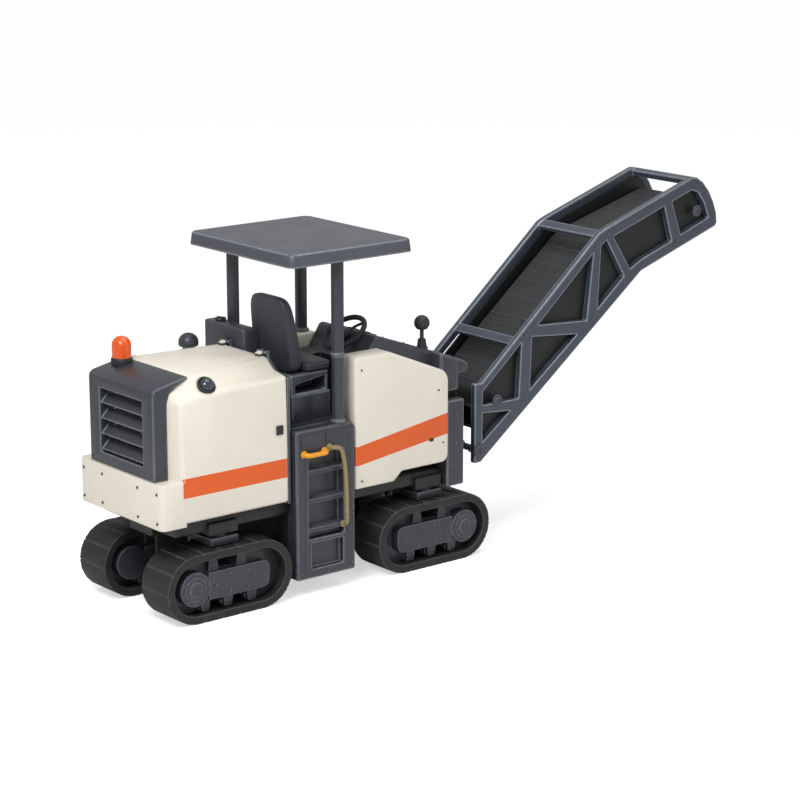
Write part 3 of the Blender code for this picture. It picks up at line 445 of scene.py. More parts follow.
def cowl_stripe(look):
    """Band that climbs toward the nose and widens a little."""
    x, y, z = look.axes()
    run = look.math("MAXIMUM", look.math("SUBTRACT", x, at(2.019)), 0.0)
    lower = look.math("MULTIPLY_ADD", run, 0.126, 1.180)
    upper = look.math("MULTIPLY_ADD", run, 0.146, 1.371)
    inside = look.math("MULTIPLY", look.math("GREATER_THAN", z, lower),
                       look.math("LESS_THAN", z, upper))
    side = look.math("GREATER_THAN", look.math("ABSOLUTE", y), 0.60)
    look.over(look.math("MULTIPLY", inside, side), STRIPE)


def rubber(name, code="242527", edge_highlight_code="5E6064", rough=0.62, radius=0.010, edge=0.5,
           dust=0.22):
    look = Look(name, code, rough)
    look.vary(3.0, 0.85, 1.15)
    # Lighter colour along the edges is a painted highlight, broken up in patches by noise.
    rim = look.edges(radius)
    edge_highlight_patches = look.ramp(look.noise(30.0, 8.0, 0.7), 0.35, 0.65, (edge * 0.35, edge))
    look.over(look.math("MULTIPLY", rim, edge_highlight_patches), edge_highlight_code)
    low_dust(look, 0.0, 1.0, dust, "6B665C")
    rough_patches(look, rough, 0.08, 12.0)
    look.bump(look.noise(340.0, 6.0, 0.7), 0.35, 0.0010)
    look.bump(look.noise(22.0, 4.0), 0.12, 0.003)
    return look.done()


def vinyl(name, code="303239"):
    """Seat covering: fine leather grain, a faint sheen, soft tone patches."""
    look = Look(name, code, 0.5)
    look.vary(4.0, 0.9, 1.12)
    cells = look.add("TexVoronoi", feature="DISTANCE_TO_EDGE")
    look.join(look.place, cells.inputs["Vector"])
    cells.inputs["Scale"].default_value = 420.0
    grain = look.ramp(cells.outputs["Distance"], 0.0, 0.12)
    rough_patches(look, 0.46, 0.07, 8.0)
    look.normal = None
    look.bump(grain, 0.30, 0.0008)
    look.bump(look.noise(30.0, 5.0), 0.20, 0.003)
    return look.done(Sheen_Weight=0.15, Sheen_Roughness=0.4)


def steel(name, code="8A8C90", rough=0.35, scratch=0.25):
    look = Look(name, code, rough, 0.9)
    look.vary(9.0, 0.75, 1.10)
    streak = look.noise(40.0, 8.0, 0.7, (1.0, 0.06, 1.0))
    look.rough = look.ramp(streak, 0.3, 0.7, (rough - 0.08, rough + 0.18))
    rust = look.ramp(look.noise(6.0, 9.0, 0.75), 0.60, 0.74, (0.0, 0.35))
    look.over(rust, "5A4334")
    look.bump(streak, scratch, 0.0006)
    return look.done()


def belt_rubber(name):
    """Smooth-top belt with a swept grain along its run."""
    look = Look(name, "2B2C2D", 0.66)
    look.vary(2.2, 0.82, 1.16)
    streak = look.noise(26.0, 7.0, 0.65, (0.10, 1.0, 0.10))
    look.over(look.ramp(streak, 0.45, 0.72, (0.0, 0.25)), "45464A")
    rough_patches(look, 0.64, 0.08, 9.0)
    look.bump(streak, 0.18, 0.001)
    look.bump(look.noise(300.0, 4.0), 0.30, 0.0008)
    return look.done()


def lens(name, code, rough, glow=None, through=0.0, ribs=0.0):
    """Moulded clear plastic or glass over a coloured body, with moulded ribs."""
    look = Look(name, code, rough)
    look.vary(12.0, 0.88, 1.08)
    if ribs:
        wave = look.add("TexWave", wave_type="BANDS", bands_direction="Z")
        look.join(look.place, wave.inputs["Vector"])
        wave.inputs["Scale"].default_value = ribs
        look.bump(wave.outputs["Fac"], 0.35, 0.002)
    look.bump(look.noise(180.0, 3.0), 0.05, 0.0006)
    sockets = {"Coat_Weight": 0.6, "Coat_Roughness": 0.06, "Transmission_Weight": through}
    if glow:
        sockets["Emission_Color"] = linear(glow)
        sockets["Emission_Strength"] = 0.12
    return look.done(**sockets)


def checker_plate(name, code="3A3D43"):
    """Raised diamond tread on painted plate."""
    look = Look(name, code, 0.45, 0.3)
    look.vary(4.0, 0.9, 1.1)
    x, y, z = look.axes()
    height = None
    for sign in (1.0, -1.0):
        along = look.math("MULTIPLY_ADD", y, sign, x)
        wave = look.math("SINE", look.math("MULTIPLY", along, 210.0))
        bar = look.ramp(wave, 0.55, 0.95)
        height = bar if height is None else look.math("MAXIMUM", height, bar)
    look.over(look.math("MULTIPLY", height, 0.35), "6A6D73")
    rough_patches(look, 0.45, 0.08)
    look.edges(0.006)
    look.bump(height, 0.6, 0.002)
    return look.done()


# The third colour given to painted() and rubber() is the colour of the painted edge highlight.
CREAM = painted("cream_hood_paint", "EAE3D5", "FFF9EC", 0.40, 0.0, 0.020, 0.55, 0.06, hood_stripe)
COWL = painted("cream_cowl_paint", "EAE3D5", "FFF9EC", 0.40, 0.0, 0.020, 0.55, 0.06, cowl_stripe)
SLATE = painted("slate_paint", "393C43", "B4B9C2", 0.36, 0.10, 0.020, 0.55, 0.08)
CANOPY = painted("roof_paint", "4A4D55", "B4B9C2", 0.40, 0.10, 0.028, 0.75, 0.0)
TRUSS = painted("conveyor_paint", "464C58", "C6CCD8", 0.32, 0.15, 0.022, 0.70, 0.0)
DARK = painted("black_frame_paint", "17181A", "3E4044", 0.50, 0.1, 0.010, 0.35, 0.25)
BAR = painted("track_frame_paint", "34373D", "9A9EA6", 0.42, 0.1, 0.014, 0.45, 0.12)
YELLOW = painted("yellow_handle_paint", "F2A212", "FFD060", 0.38, 0.0, 0.006, 0.3, 0.05)
TAN = painted("tan_rail_coating", "93835A", "C2B184", 0.50, 0.0, 0.008, 0.35, 0.10)
RUBBER = rubber("track_rubber", "1B1C1E", "7A7C80", 0.62, 0.012, 0.75, 0.12)
WHEEL = rubber("moulded_grip", "26272A", "5A5C60", 0.55, 0.005, 0.25, 0.0)
VINYL = vinyl("seat_vinyl")
PIPING = vinyl("seat_piping", "3E4149")
STEEL = steel("worn_steel")
BOLT = steel("zinc_bolts", "74767B", 0.42, 0.15)
PICK = steel("carbide_picks", "6E6A64", 0.40, 0.3)
BELT = belt_rubber("conveyor_belt_rubber")
BEACON = lens("beacon_lens", "E85600", 0.22, "FF6A00", 0.15, 34.0)
LAMP = lens("lamp_lens", "3A464F", 0.10, None, 0.35)
PLATE = checker_plate("tread_plate")
SEAM = rubber("belt_seam_rubber", "3C3D40", "6E7075", 0.6, 0.003, 0.5, 0.0)
LIP = painted("lip_paint", "8B8F97", "C9CCD2", 0.40, 0.1, 0.004, 0.4, 0.0)


# ---------------------------------------------------------------- finish of the CAD nodes
def fresh_group():
    """Modifier group: drops stored normals and welds the split corners."""
    tree = bpy.data.node_groups.new("weld_corners", "GeometryNodeTree")
    tree.interface.new_socket("Geometry", in_out="INPUT", socket_type="NodeSocketGeometry")
    tree.interface.new_socket("Geometry", in_out="OUTPUT", socket_type="NodeSocketGeometry")
    start = tree.nodes.new("NodeGroupInput")
    drop = tree.nodes.new("GeometryNodeRemoveAttribute")
    drop.inputs["Name"].default_value = "custom_normal"
    weld = tree.nodes.new("GeometryNodeMergeByDistance")
    weld.inputs["Distance"].default_value = 0.00005
    end = tree.nodes.new("NodeGroupOutput")
    tree.links.new(start.outputs[0], drop.inputs["Geometry"])
    tree.links.new(drop.outputs["Geometry"], weld.inputs["Geometry"])
    tree.links.new(weld.outputs["Geometry"], end.inputs[0])
    return tree


def shading_group(angle):
    """Modifier group: smooth faces, sharp where the edge is steeper than angle."""
    tree = bpy.data.node_groups.new("shade_%d" % angle, "GeometryNodeTree")
    tree.interface.new_socket("Geometry", in_out="INPUT", socket_type="NodeSocketGeometry")
    tree.interface.new_socket("Geometry", in_out="OUTPUT", socket_type="NodeSocketGeometry")
    start = tree.nodes.new("NodeGroupInput")
    faces = tree.nodes.new("GeometryNodeSetShadeSmooth")
    faces.domain = "FACE"
    bend = tree.nodes.new("GeometryNodeInputMeshEdgeAngle")
    steep = tree.nodes.new("FunctionNodeCompare")
    steep.operation = "GREATER_THAN"
    steep.inputs[1].default_value = radians(angle)
    crisp = tree.nodes.new("GeometryNodeSetShadeSmooth")
    crisp.domain = "EDGE"
    crisp.inputs["Shade Smooth"].default_value = False
    end = tree.nodes.new("NodeGroupOutput")
    tree.links.new(start.outputs[0], faces.inputs["Geometry"])
    tree.links.new(faces.outputs["Geometry"], crisp.inputs["Geometry"])
    tree.links.new(bend.outputs["Unsigned Angle"], steep.inputs[0])
    tree.links.new(steep.outputs["Result"], crisp.inputs["Selection"])
    tree.links.new(crisp.outputs["Geometry"], end.inputs[0])
    return tree


FRESH = fresh_group()
SHADE = shading_group(32)


def refine(node, mat, width=0.0):
    """Material, rounded edges and clean shading for a CAD node; its mesh stays."""
    ob = NODES[node]
    ob.data.materials.clear()
    ob.data.materials.append(mat)
    mod = ob.modifiers.new("weld", "NODES")
    mod.node_group = FRESH
    if width:
        mod = ob.modifiers.new("round_edges", "BEVEL")
        mod.width = width
        mod.segments = 3
        mod.limit_method = "ANGLE"
        mod.angle_limit = radians(38)
        mod.use_clamp_overlap = True
        mod.miter_outer = "MITER_ARC"
    mod = ob.modifiers.new("shading", "NODES")
    mod.node_group = SHADE


REFINED = (  # node, material, edge rounding
    ("engine_hood", CREAM, 0.012), ("grille_housing", SLATE, 0.006),
    ("front_cowl_left", COWL, 0.0), ("front_cowl_right", COWL, 0.0),
    ("front_bonnet", SLATE, 0.010), ("bulkhead", SLATE, 0.003),
    ("hydraulic_tank", SLATE, 0.0), ("platform", SLATE, 0.004),
    ("seat_box", SLATE, 0.008), ("ladder_left", SLATE, 0.006), ("ladder_right", SLATE, 0.006),
    ("canopy_post_rear_left", SLATE, 0.0), ("canopy_post_front_left", SLATE, 0.0),
    ("canopy_post_right", SLATE, 0.0), ("canopy_roof", CANOPY, 0.0),
    ("nose_frame", SLATE, 0.008), ("slew_yoke", SLATE, 0.004),
    ("conveyor_frame", TRUSS, 0.010), ("conveyor_trough", DARK, 0.0),
    ("conveyor_belt", BELT, 0.0), ("tail_pulley", STEEL, 0.004), ("head_pulley", STEEL, 0.004),
    ("chassis_frame", DARK, 0.006), ("drum_housing", DARK, 0.006), ("milling_drum", STEEL, 0.0),
    ("engine_block", DARK, 0.010), ("steering_column", WHEEL, 0.0),
    ("track_frame_front_left", BAR, 0.004), ("track_frame_front_right", BAR, 0.004),
    ("track_frame_rear_left", BAR, 0.004), ("track_frame_rear_right", BAR, 0.004),
    ("air_precleaner", SLATE, 0.0), ("beacon", BEACON, 0.0), ("hood_lamp_left", LAMP, 0.0),
    ("hood_lamp_right", LAMP, 0.0), ("seat_cushion", VINYL, 0.0), ("seat_back", VINYL, 0.0),
    ("step_rail_left", TAN, 0.0), ("step_rail_right", TAN, 0.0),
    ("grab_handle_left", YELLOW, 0.0), ("grab_handle_right", YELLOW, 0.0),
    ("steering_wheel", WHEEL, 0.0), ("control_lever", WHEEL, 0.0),
    ("track_loop_front_left", RUBBER, 0.005), ("track_loop_front_right", RUBBER, 0.005),
    ("track_loop_rear_left", RUBBER, 0.005), ("track_loop_rear_right", RUBBER, 0.005),
)
for node, mat, width in REFINED:
    refine(node, mat, width)


# ---------------------------------------------------------------- added detail
BODY = {node: next(k for k, v in frame["bodies"].items() if v is ob.parent)
        for node, ob in NODES.items()}


def add(name, bm, mat, node, **options):
    """Detail piece in machine coordinates that rides with a CAD node."""
    moved(bm, Matrix.Translation((X0, 0, 0)))
    return piece(name, bm, mat, BODY[node], **options)


def both(name, build, mat, node, **options):
    """Right and left copies of a detail; node ends with the side."""
    swap = options.pop("replaces", None)
    for side in ("right", "left"):
        bm = build()
        if side == "left":
            twin = mirrored(bm)
            bm.free()
            bm = twin
        target = node + "_" + side if node + "_" + side in NODES else node
        extra = dict(options)
        if swap:
            extra["replaces"] = (swap + "_" + side,)
        add(name + "_" + side, bm, mat, target, **extra)


def power(value, exponent):
    return abs(value) ** exponent * (1 if value > 0 else -1)


def pillow(centre, half, round_up=0.42, round_plan=0.24, rows=36, sides=88, lean=0.0):
    """Crowned, stuffed block: flat-ish faces, full edges; lean shears it back with height."""
    bm = bmesh.new()
    rings = []
    for i in range(1, rows):
        u = -pi / 2 + pi * i / rows
        reach, rise = power(cos(u), round_up), power(sin(u), round_up)
        ring = []
        for k in range(sides):
            v = 2 * pi * k / sides
            z = half[2] * rise
            ring.append(bm.verts.new((centre[0] + half[0] * reach * power(cos(v), round_plan)
                                      + lean * z,
                                      centre[1] + half[1] * reach * power(sin(v), round_plan),
                                      centre[2] + z)))
        rings.append(ring)
    for a, b in zip(rings, rings[1:]):
        for k in range(sides):
            j = (k + 1) % sides
            bm.faces.new((a[k], a[j], b[j], b[k]))
    for ring, sign in ((rings[0], -1), (rings[-1], 1)):
        tip = bm.verts.new((centre[0] + lean * sign * half[2], centre[1],
                            centre[2] + sign * half[2]))
        for k in range(sides):
            bm.faces.new((ring[k], ring[(k + 1) % sides], tip))
    bmesh.ops.recalc_face_normals(bm, faces=bm.faces)
    return bm


def cord_ring(points, radius, sides=10, up=(0, 0, 1)):
    """Closed round cord through the points."""
    bm = bmesh.new()
    rows = []
    count = len(points)
    for i in range(count):
        ahead = (points[(i + 1) % count] - points[i - 1]).normalized()
        side = Vector(up).cross(ahead).normalized()
        over = ahead.cross(side)
        rows.append([bm.verts.new(points[i] + (side * cos(2 * pi * k / sides)
                                               + over * sin(2 * pi * k / sides)) * radius)
                     for k in range(sides)])
    for i in range(count):
        a, b = rows[i], rows[(i + 1) % count]
        for k in range(sides):
            j = (k + 1) % sides
            bm.faces.new((a[k], a[j], b[j], b[k]))
    bmesh.ops.recalc_face_normals(bm, faces=bm.faces)
    return bm


def build_seat():
    add("seat_pad", pillow((1.783, SEAT_Y, 2.150), (0.146, 0.318, 0.052), 0.50, 0.22), VINYL,
        "seat_cushion", soft=True, smooth=60, replaces=("seat_cushion",))
    ring = [Vector((1.783 + 0.145 * power(cos(2 * pi * k / 120), 0.22),
                    SEAT_Y + 0.317 * power(sin(2 * pi * k / 120), 0.22), 2.168))
            for k in range(120)]
    add("seat_pad_piping", cord_ring(ring, 0.006), PIPING, "seat_cushion", smooth=60)
    back = pillow((0.0, 0.0, 0.0), (0.369, 0.303, 0.078), 0.40, 0.36, 48, 120)
    for v in back.verts:                      # stood upright, with a fuller lumbar
        t, across, thick = v.co.x / 0.369, v.co.y, v.co.z
        if thick > 0:
            thick += 0.014 * (1 - (across / 0.303) ** 2) * (1 - t * t)
        across *= 1.0 - 0.07 * max(t, 0) - 0.05 * max(-t, 0)
        v.co = (1.492 + thick * (1 - 0.25 * t) - 0.150 * 0.369 * t, SEAT_Y + across,
                2.468 + 0.369 * t)
    bmesh.ops.recalc_face_normals(back, faces=back.faces)
    add("seat_backrest", back, VINYL, "seat_back", soft=True, smooth=60, replaces=("seat_back",))
    seams = []
    for z in (2.300, 2.560):
        x = 1.492 - 0.150 * (z - 2.468) + 0.0905
        path = [Vector((x - 0.010 * (k / 12) ** 2, SEAT_Y + 0.245 * k / 12, z))
                for k in range(-12, 13)]
        seams.append(swept(path, oval(0.004, 0.004, 8), (0, 0, 1)))
    add("seat_back_seams", merged(seams), PIPING, "seat_back", smooth=60)


STEER_TURN = Matrix.Translation(STEER) @ Matrix.Rotation(radians(-STEER_TILT), 4, "Y")


def build_wheel():
    rim = torus(0.222, 0.0265, 112, 22)
    hub = turned([(0, -0.045), (0.050, -0.045), (0.058, -0.030), (0.060, 0.000), (0.052, 0.009),
                  (0.030, 0.013), (0, 0.014)], (0, 0), 40)
    parts = [rim, hub]
    for angle in (90, 210, 330):
        path = [Vector((0.040 + 0.180 * k / 8, 0, -0.013 + 0.010 * sin(pi * k / 8)))
                for k in range(9)]
        spoke = swept(path, oval(0.024, 0.009, 16), (0, 0, 1))
        parts.append(moved(spoke, Matrix.Rotation(radians(angle), 4, "Z")))
    bm = moved(merged(parts), STEER_TURN)
    add("steering_wheel_moulded", bm, WHEEL, "steering_wheel", smooth=50,
        replaces=("steering_wheel",))
    cap = turned([(0.0, 0.012), (0.034, 0.012), (0.034, 0.015), (0.028, 0.019), (0, 0.021)],
                 (0, 0), 40)
    add("steering_wheel_cap", moved(cap, STEER_TURN), BAR, "steering_wheel", smooth=40)


def build_lever():
    x, y, z = 3.088, -0.375, 2.080
    boot = [(0.0, z), (0.060, z), (0.060, z + 0.058), (0.056, z + 0.066)]
    for k in range(6):                        # pleats
        a = z + 0.070 + 0.014 * k
        boot += [(0.052 - 0.002 * k, a), (0.046 - 0.002 * k, a + 0.007)]
    boot += [(0.020, z + 0.158), (0.020, z + 0.240), (0.036, z + 0.246)]
    for k in range(1, 17):
        a = radians(-62 + 152 * k / 16)
        boot.append((0.078 * cos(a), z + 0.308 + 0.078 * sin(a)))
    boot[-1] = (0.0, z + 0.386)
    add("control_lever_moulded", turned(boot, (x, y), 40), WHEEL, "control_lever", smooth=40,
        replaces=("control_lever",))


def build_deck_parts():
    base = BEACON_Z
    seat = 2.236 + 0.245 * 0.20882            # sloping grille deck at the beacon's rear
    dome = [(0.0, base + 0.050), (0.092, base + 0.050), (0.092, base + 0.168)]
    dome += [(0.092 * cos(radians(a)), base + 0.168 + 0.084 * sin(radians(a)))
             for a in range(8, 90, 6)] + [(0.0, base + 0.252)]
    add("beacon_dome", turned(dome, BEACON_SPOT, 64), BEACON, "beacon", smooth=40,
        replaces=("beacon",))
    ring = [(0.0, seat - 0.012), (0.102, seat - 0.012), (0.104, base + 0.010),
            (0.102, base + 0.034), (0.097, base + 0.044), (0.094, base + 0.050),
            (0.0, base + 0.050)]
    add("beacon_base", turned(ring, BEACON_SPOT, 64), WHEEL, "beacon", smooth=30)
    for side, label in ((-1, "right"), (1, "left")):
        turn = Matrix.Translation((LAMP_SPOT[0], side * LAMP_SPOT[1], LAMP_SPOT[2]))
        turn = turn @ Matrix.Rotation(radians(-side * LAMP_TILT), 4, "X")
        glass = [(0.0, 0.006), (0.070, 0.006)]
        glass += [(0.070 * cos(radians(a)), 0.006 + 0.060 * sin(radians(a)))
                  for a in range(8, 90, 8)] + [(0.0, 0.066)]
        add("lamp_glass_" + label, moved(turned(glass, (0, 0), 48), turn), LAMP,
            "hood_lamp_" + label, smooth=50, replaces=("hood_lamp_" + label,))
        bezel = [(0.0, -0.019), (0.0865, -0.019), (0.0880, 0.000), (0.0900, 0.010),
                 (0.0885, 0.018), (0.0800, 0.020), (0.0715, 0.010), (0.0700, 0.004), (0, 0.004)]
        add("lamp_bezel_" + label, moved(turned(bezel, (0, 0), 48), turn), WHEEL,
            "hood_lamp_" + label, smooth=35)
    z = 2.180
    cap = [(0.0, z), (0.060, z), (0.060, z + 0.100), (0.070, z + 0.108), (0.094, z + 0.113),
           (0.098, z + 0.126), (0.098, z + 0.150)]
    cap += [(0.098 * cos(radians(a)), z + 0.150 + 0.090 * sin(radians(a)))
            for a in range(8, 90, 8)] + [(0.0, z + 0.240)]
    add("precleaner_cap", turned(cap, (0.960, 0.585), 56), SLATE, "air_precleaner", smooth=34,
        replaces=("air_precleaner",))


def strap(points, radius, steps=10, sides=16):
    return swept(smooth_path(points, steps), oval(radius, radius, sides), (0, 0, 1))


def rail():
    top = strap([(1.650, -0.7405, 1.440), (1.668, -0.786, 1.440), (1.712, -0.802, 1.434),
                 (1.750, -0.802, 1.398), (1.779, -0.802, 1.300), (1.795, -0.802, 1.180),
                 (1.805, -0.802, 1.000), (1.811, -0.802, 0.840), (1.812, -0.800, 0.700),
                 (1.812, -0.780, 0.662), (1.812, -0.7405, 0.650)], 0.0215)
    feet = [disc((1.650, -0.7403, 1.440), (0, -1, 0), 0.034, 0.008),
            disc((1.812, -0.7403, 0.650), (0, -1, 0), 0.034, 0.008)]
    return merged([top] + feet)


def grab():
    bar = strap([(1.350, -0.7405, 1.412), (1.350, -0.772, 1.412), (1.376, -0.799, 1.409),
                 (1.420, -0.800, 1.408), (1.520, -0.800, 1.408), (1.564, -0.799, 1.409),
                 (1.590, -0.772, 1.412), (1.590, -0.7405, 1.412)], 0.0235)
    feet = [disc((x, -0.7403, 1.412), (0, -1, 0), 0.036, 0.007) for x in (1.350, 1.590)]
    return merged([bar] + feet)


def treads():
    """Grip plates on the rungs, with raised studs."""
    parts = []
    for z in (0.640, 0.930, 1.215):
        parts.append(box((1.403, 1.827), (-0.731, -0.640), (z + 0.0215, z + 0.0265), 0.0015, 1))
        parts.append(box((1.403, 1.827), (-0.7325, -0.7275), (z - 0.020, z + 0.0265), 0.002, 1))
        for row in range(3):
            for col in range(13):
                x = 1.425 + col * 0.0317 + (row % 2) * 0.008
                parts.append(turned([(0, z + 0.026), (0.007, z + 0.026), (0.005, z + 0.031),
                                     (0, z + 0.031)], (x, -0.716 + row * 0.024), 8))
    return merged(parts)


def ladder_marks():
    """Dark thin inlays in the ladder panel's outer face: the curved groove and the slot are painted shade,
    the three straight lines are seams.
    """
    # The curved groove and the slot below are dark strips of painted shade, not cut recesses.
    parts = [swept(smooth_path([(1.315, -0.7404, 1.560), (1.318, -0.7404, 1.500),
                                (1.330, -0.7404, 1.462)], 6), oval(0.007, 0.0016, 8), (0, 1, 0)),
             box((1.600, 1.616), (-0.7412, -0.738), (1.490, 1.590), 0.0008, 1),
             box((1.285, 1.939), (-0.7409, -0.738), (1.6000, 1.6032), 0.0003, 1),
             box((1.3555, 1.3590), (-0.7409, -0.738), (0.230, 1.380), 0.0003, 1),
             box((1.8700, 1.8735), (-0.7409, -0.738), (0.230, 1.560), 0.0003, 1)]
    return merged(parts)


def ladder_bolts():
    spots = [(1.310, 0.240), (1.310, 0.800), (1.310, 1.300), (1.918, 0.240), (1.918, 0.800),
             (1.918, 1.300), (1.918, 1.500), (1.62, 0.214)]
    return merged([hexagon((x, -PANEL_FACE, z), (0, -1, 0), 0.010, 0.009) for x, z in spots])


def ladder_lip():
    """Rolled bright lip along the top of the panel."""
    path = [Vector((x, -0.722, 1.6165)) for x in (1.300, 1.450, 1.600, 1.750, 1.915)]
    return swept(path, oval(0.0105, 0.0065, 12), (0, 1, 0))


def bonnet_bits():
    """Seams and bolts of the bonnet's sloping lid, and the gauge panel on it."""
    crest_x, crest_z = BONNET_CREST
    tilt = Matrix.Rotation(atan2(BONNET_FALL, 1), 4, "Y")
    outward = (0.335, 0, 0.942)

    def spot(x, y, up=0.0):
        return Matrix.Translation((x, y, crest_z - (x - crest_x) * BONNET_FALL + up)) @ tilt
    seams, bolts, panel = [], [], []
    seams.append(moved(box((-0.20, 0.20), (-0.310, -0.3065), (-0.001, 0.0012)), spot(2.80, 0)))
    seams.append(moved(box((-0.20, 0.20), (0.3065, 0.310), (-0.001, 0.0012)), spot(2.80, 0)))
    for x, y in ((2.62, -0.34), (2.98, -0.22), (2.62, 0.34), (2.98, 0.34)):
        bolts.append(hexagon(spot(x, y).to_translation(), outward, 0.009, 0.008))
    panel.append(moved(box((-0.060, 0.060), (-0.20, 0.20), (-0.004, 0.010), 0.004), spot(2.60, 0)))

    def dial(k):
        return spot(2.60, -0.135 + 0.09 * k, 0.010).to_translation()
    for k in range(4):
        panel.append(disc(dial(k), outward, 0.026, 0.006))
    add("bonnet_seams", merged(seams), DARK, "front_bonnet")
    add("bonnet_bolts", merged(bolts), BOLT, "front_bonnet")
    add("gauge_panel", merged(panel), WHEEL, "front_bonnet")
    dials = [disc(dial(k), outward, 0.021, 0.0075, 0.001) for k in range(4)]
    add("gauge_dials", merged(dials), LAMP, "front_bonnet")


def grille_mesh():
    """Fine woven mesh behind the louvres."""
    parts = []
    for k in range(35):
        y = -0.340 + 0.020 * k
        parts.append(box((-0.030, -0.027), (y - 0.0014, y + 0.0014), (1.485, 2.095)))
    for k in range(30):
        z = 1.500 + 0.020 * k
        parts.append(box((-0.027, -0.024), (-0.355, 0.355), (z - 0.0014, z + 0.0014)))
    return merged(parts)


def hood_bits():
    parts = []
    for y in (-0.620, -0.300, 0.300, 0.620):
        for z in (1.000, 1.280):
            parts.append(hexagon((BUMPER_FACE, y, z), (-1, 0, 0), 0.012, 0.010))
    add("bumper_bolts", merged(parts), BOLT, "engine_hood")
    latch = []
    for side in (-1, 1):
        latch.append(box((1.060, 1.140), sorted((side * 0.6985, side * 0.7070)), (1.640, 1.730),
                         0.004))
        latch.append(disc((1.100, side * 0.7060, 1.685), (0, side, 0), 0.022, 0.006))
    add("hood_latches", merged(latch), WHEEL, "engine_hood", smooth=30)
    frames = [hexagon((GRILLE_FACE, y, z), (-1, 0, 0), 0.008, 0.007)
              for y in (-0.50, 0.50) for z in (1.42, 1.78, 2.14)]
    add("grille_bolts", merged(frames), BOLT, "grille_housing")
    add("grille_mesh", grille_mesh(), STEEL, "grille_housing")


def build_picks():
    """Picks in two helical rows that meet at the middle, on short blocks."""
    low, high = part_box("milling_drum")
    cx, cz = (low.x + high.x) / 2 - X0, (low.z + high.z) / 2
    radius = (high.z - low.z) / 2
    blocks, tips = [], []
    base = min(radius, 0.255)
    for k in range(84):
        t = -1 + 2 * (k + 0.5) / 84
        y = t * (high.y - 0.030)
        angle = abs(t) * 4.2 * pi + (0 if k % 2 else pi)
        out = Vector((cos(angle), 0, sin(angle)))
        lean = Vector((-sin(angle), 0, cos(angle)))
        aim = (out * 0.80 + lean * 0.60).normalized()
        foot = Vector((cx, y, cz)) + out * (base - 0.004)
        blocks.append(laid(turned([(0, -0.010), (0.016, -0.010), (0.014, 0.016), (0, 0.016)],
                                  (0, 0), 10), foot, aim))
        tips.append(laid(turned([(0, 0.014), (0.009, 0.014), (0.0075, 0.024), (0.002, 0.038),
                                 (0, 0.040)], (0, 0), 10), foot, aim))
    add("drum_blocks", merged(blocks), DARK, "milling_drum")
    add("drum_picks", merged(tips), PICK, "milling_drum")


def conveyor_bits():
    """Bolts at the truss nodes, cross seams of the belt and caps on its pivots."""
    bolts = []
    spots = [(3.742, 1.020), (3.742, 1.250), (3.742, 1.500), (4.360, 2.105), (4.380, 1.430),
             (5.330, 2.900), (5.290, 2.150), (5.500, 3.020), (5.840, 2.540), (6.370, 3.170),
             (6.500, 2.830), (6.700, 3.420), (6.930, 3.290), (7.040, 3.060), (5.135, 2.075)]
    for side in (-1, 1):
        for x, z in spots:
            bolts.append(hexagon((x, side * TRUSS_FACE, z), (0, side, 0), 0.013, 0.010))
    add("truss_bolts", merged(bolts), BOLT, "conveyor_frame")
    line = [Vector((x, 0, z)) for x, z in BELT_LINE]
    seams = []
    for a, b, count in ((line[0], line[1], 17), (line[1], line[2], 10)):
        ahead = (b - a).normalized()
        up = Vector((-ahead.z, 0, ahead.x))
        turn = Matrix((ahead, Vector((0, 1, 0)), up)).transposed().to_4x4()
        for k in range(count):
            spot = a + (b - a) * ((k + 0.6) / count) + up * BELT_SIDE
            bar = box((-0.007, 0.007), (-0.335, 0.335), (-0.004, 0.0045), 0.002, 1)
            seams.append(moved(bar, Matrix.Translation(spot) @ turn))
    add("belt_seams", merged(seams), SEAM, "conveyor_belt")
    pads = []
    for side in (-1, 1):
        for (x, z), r in ((LIFT, 0.062), (BELT_LINE[0], 0.060), (BELT_LINE[2], 0.060)):
            pads.append(disc((x, side * TRUSS_FACE, z), (0, side, 0), r, 0.014, 0.004))
            pads.append(disc((x, side * (TRUSS_FACE + 0.0138), z), (0, side, 0), r * 0.55,
                             0.008, 0.003))
    add("pivot_caps", merged(pads), BAR, "conveyor_frame", smooth=30)


def track_bits():
    """Hub caps, bolt circles and frame bolts of the four track units."""
    for name, cx, side, s in (("front_left", 2.950, 1, 1), ("front_right", 2.950, -1, 1),
                              ("rear_left", 0.480, 1, -1), ("rear_right", 0.480, -1, -1)):
        cy = side * TRACK_Y
        face = cy + side * 0.2052
        x = cx + s * (0.375 + 0.015)
        caps = [disc((x, face, HUB_Z), (0, side, 0), 0.120, 0.010, 0.004, 56),
                disc((x, face + side * 0.0098, HUB_Z), (0, side, 0), 0.070, 0.008, 0.004)]
        bolts = []
        for k in range(10):
            a = 2 * pi * k / 10 + 0.2
            for circle, out, size, height in ((0.142, 0.0, 0.0085, 0.008),
                                              (0.093, 0.0098, 0.0065, 0.006)):
                bolts.append(hexagon((x + circle * cos(a), face + side * out,
                                      HUB_Z + circle * sin(a)), (0, side, 0), size, height))
        for a, z in ((-0.38, HUB_Z), (-0.20, 0.42), (0.0, 0.42), (-0.20, 0.25), (0.0, 0.25),
                     (0.16, HUB_Z)):
            bolts.append(hexagon((cx + s * a, cy + side * 0.2002, z), (0, side, 0), 0.011, 0.009))
        node = "track_frame_" + name
        add("hub_cap_" + name, merged(caps), BAR, node, smooth=30)
        add("track_bolts_" + name, merged(bolts), BOLT, node)


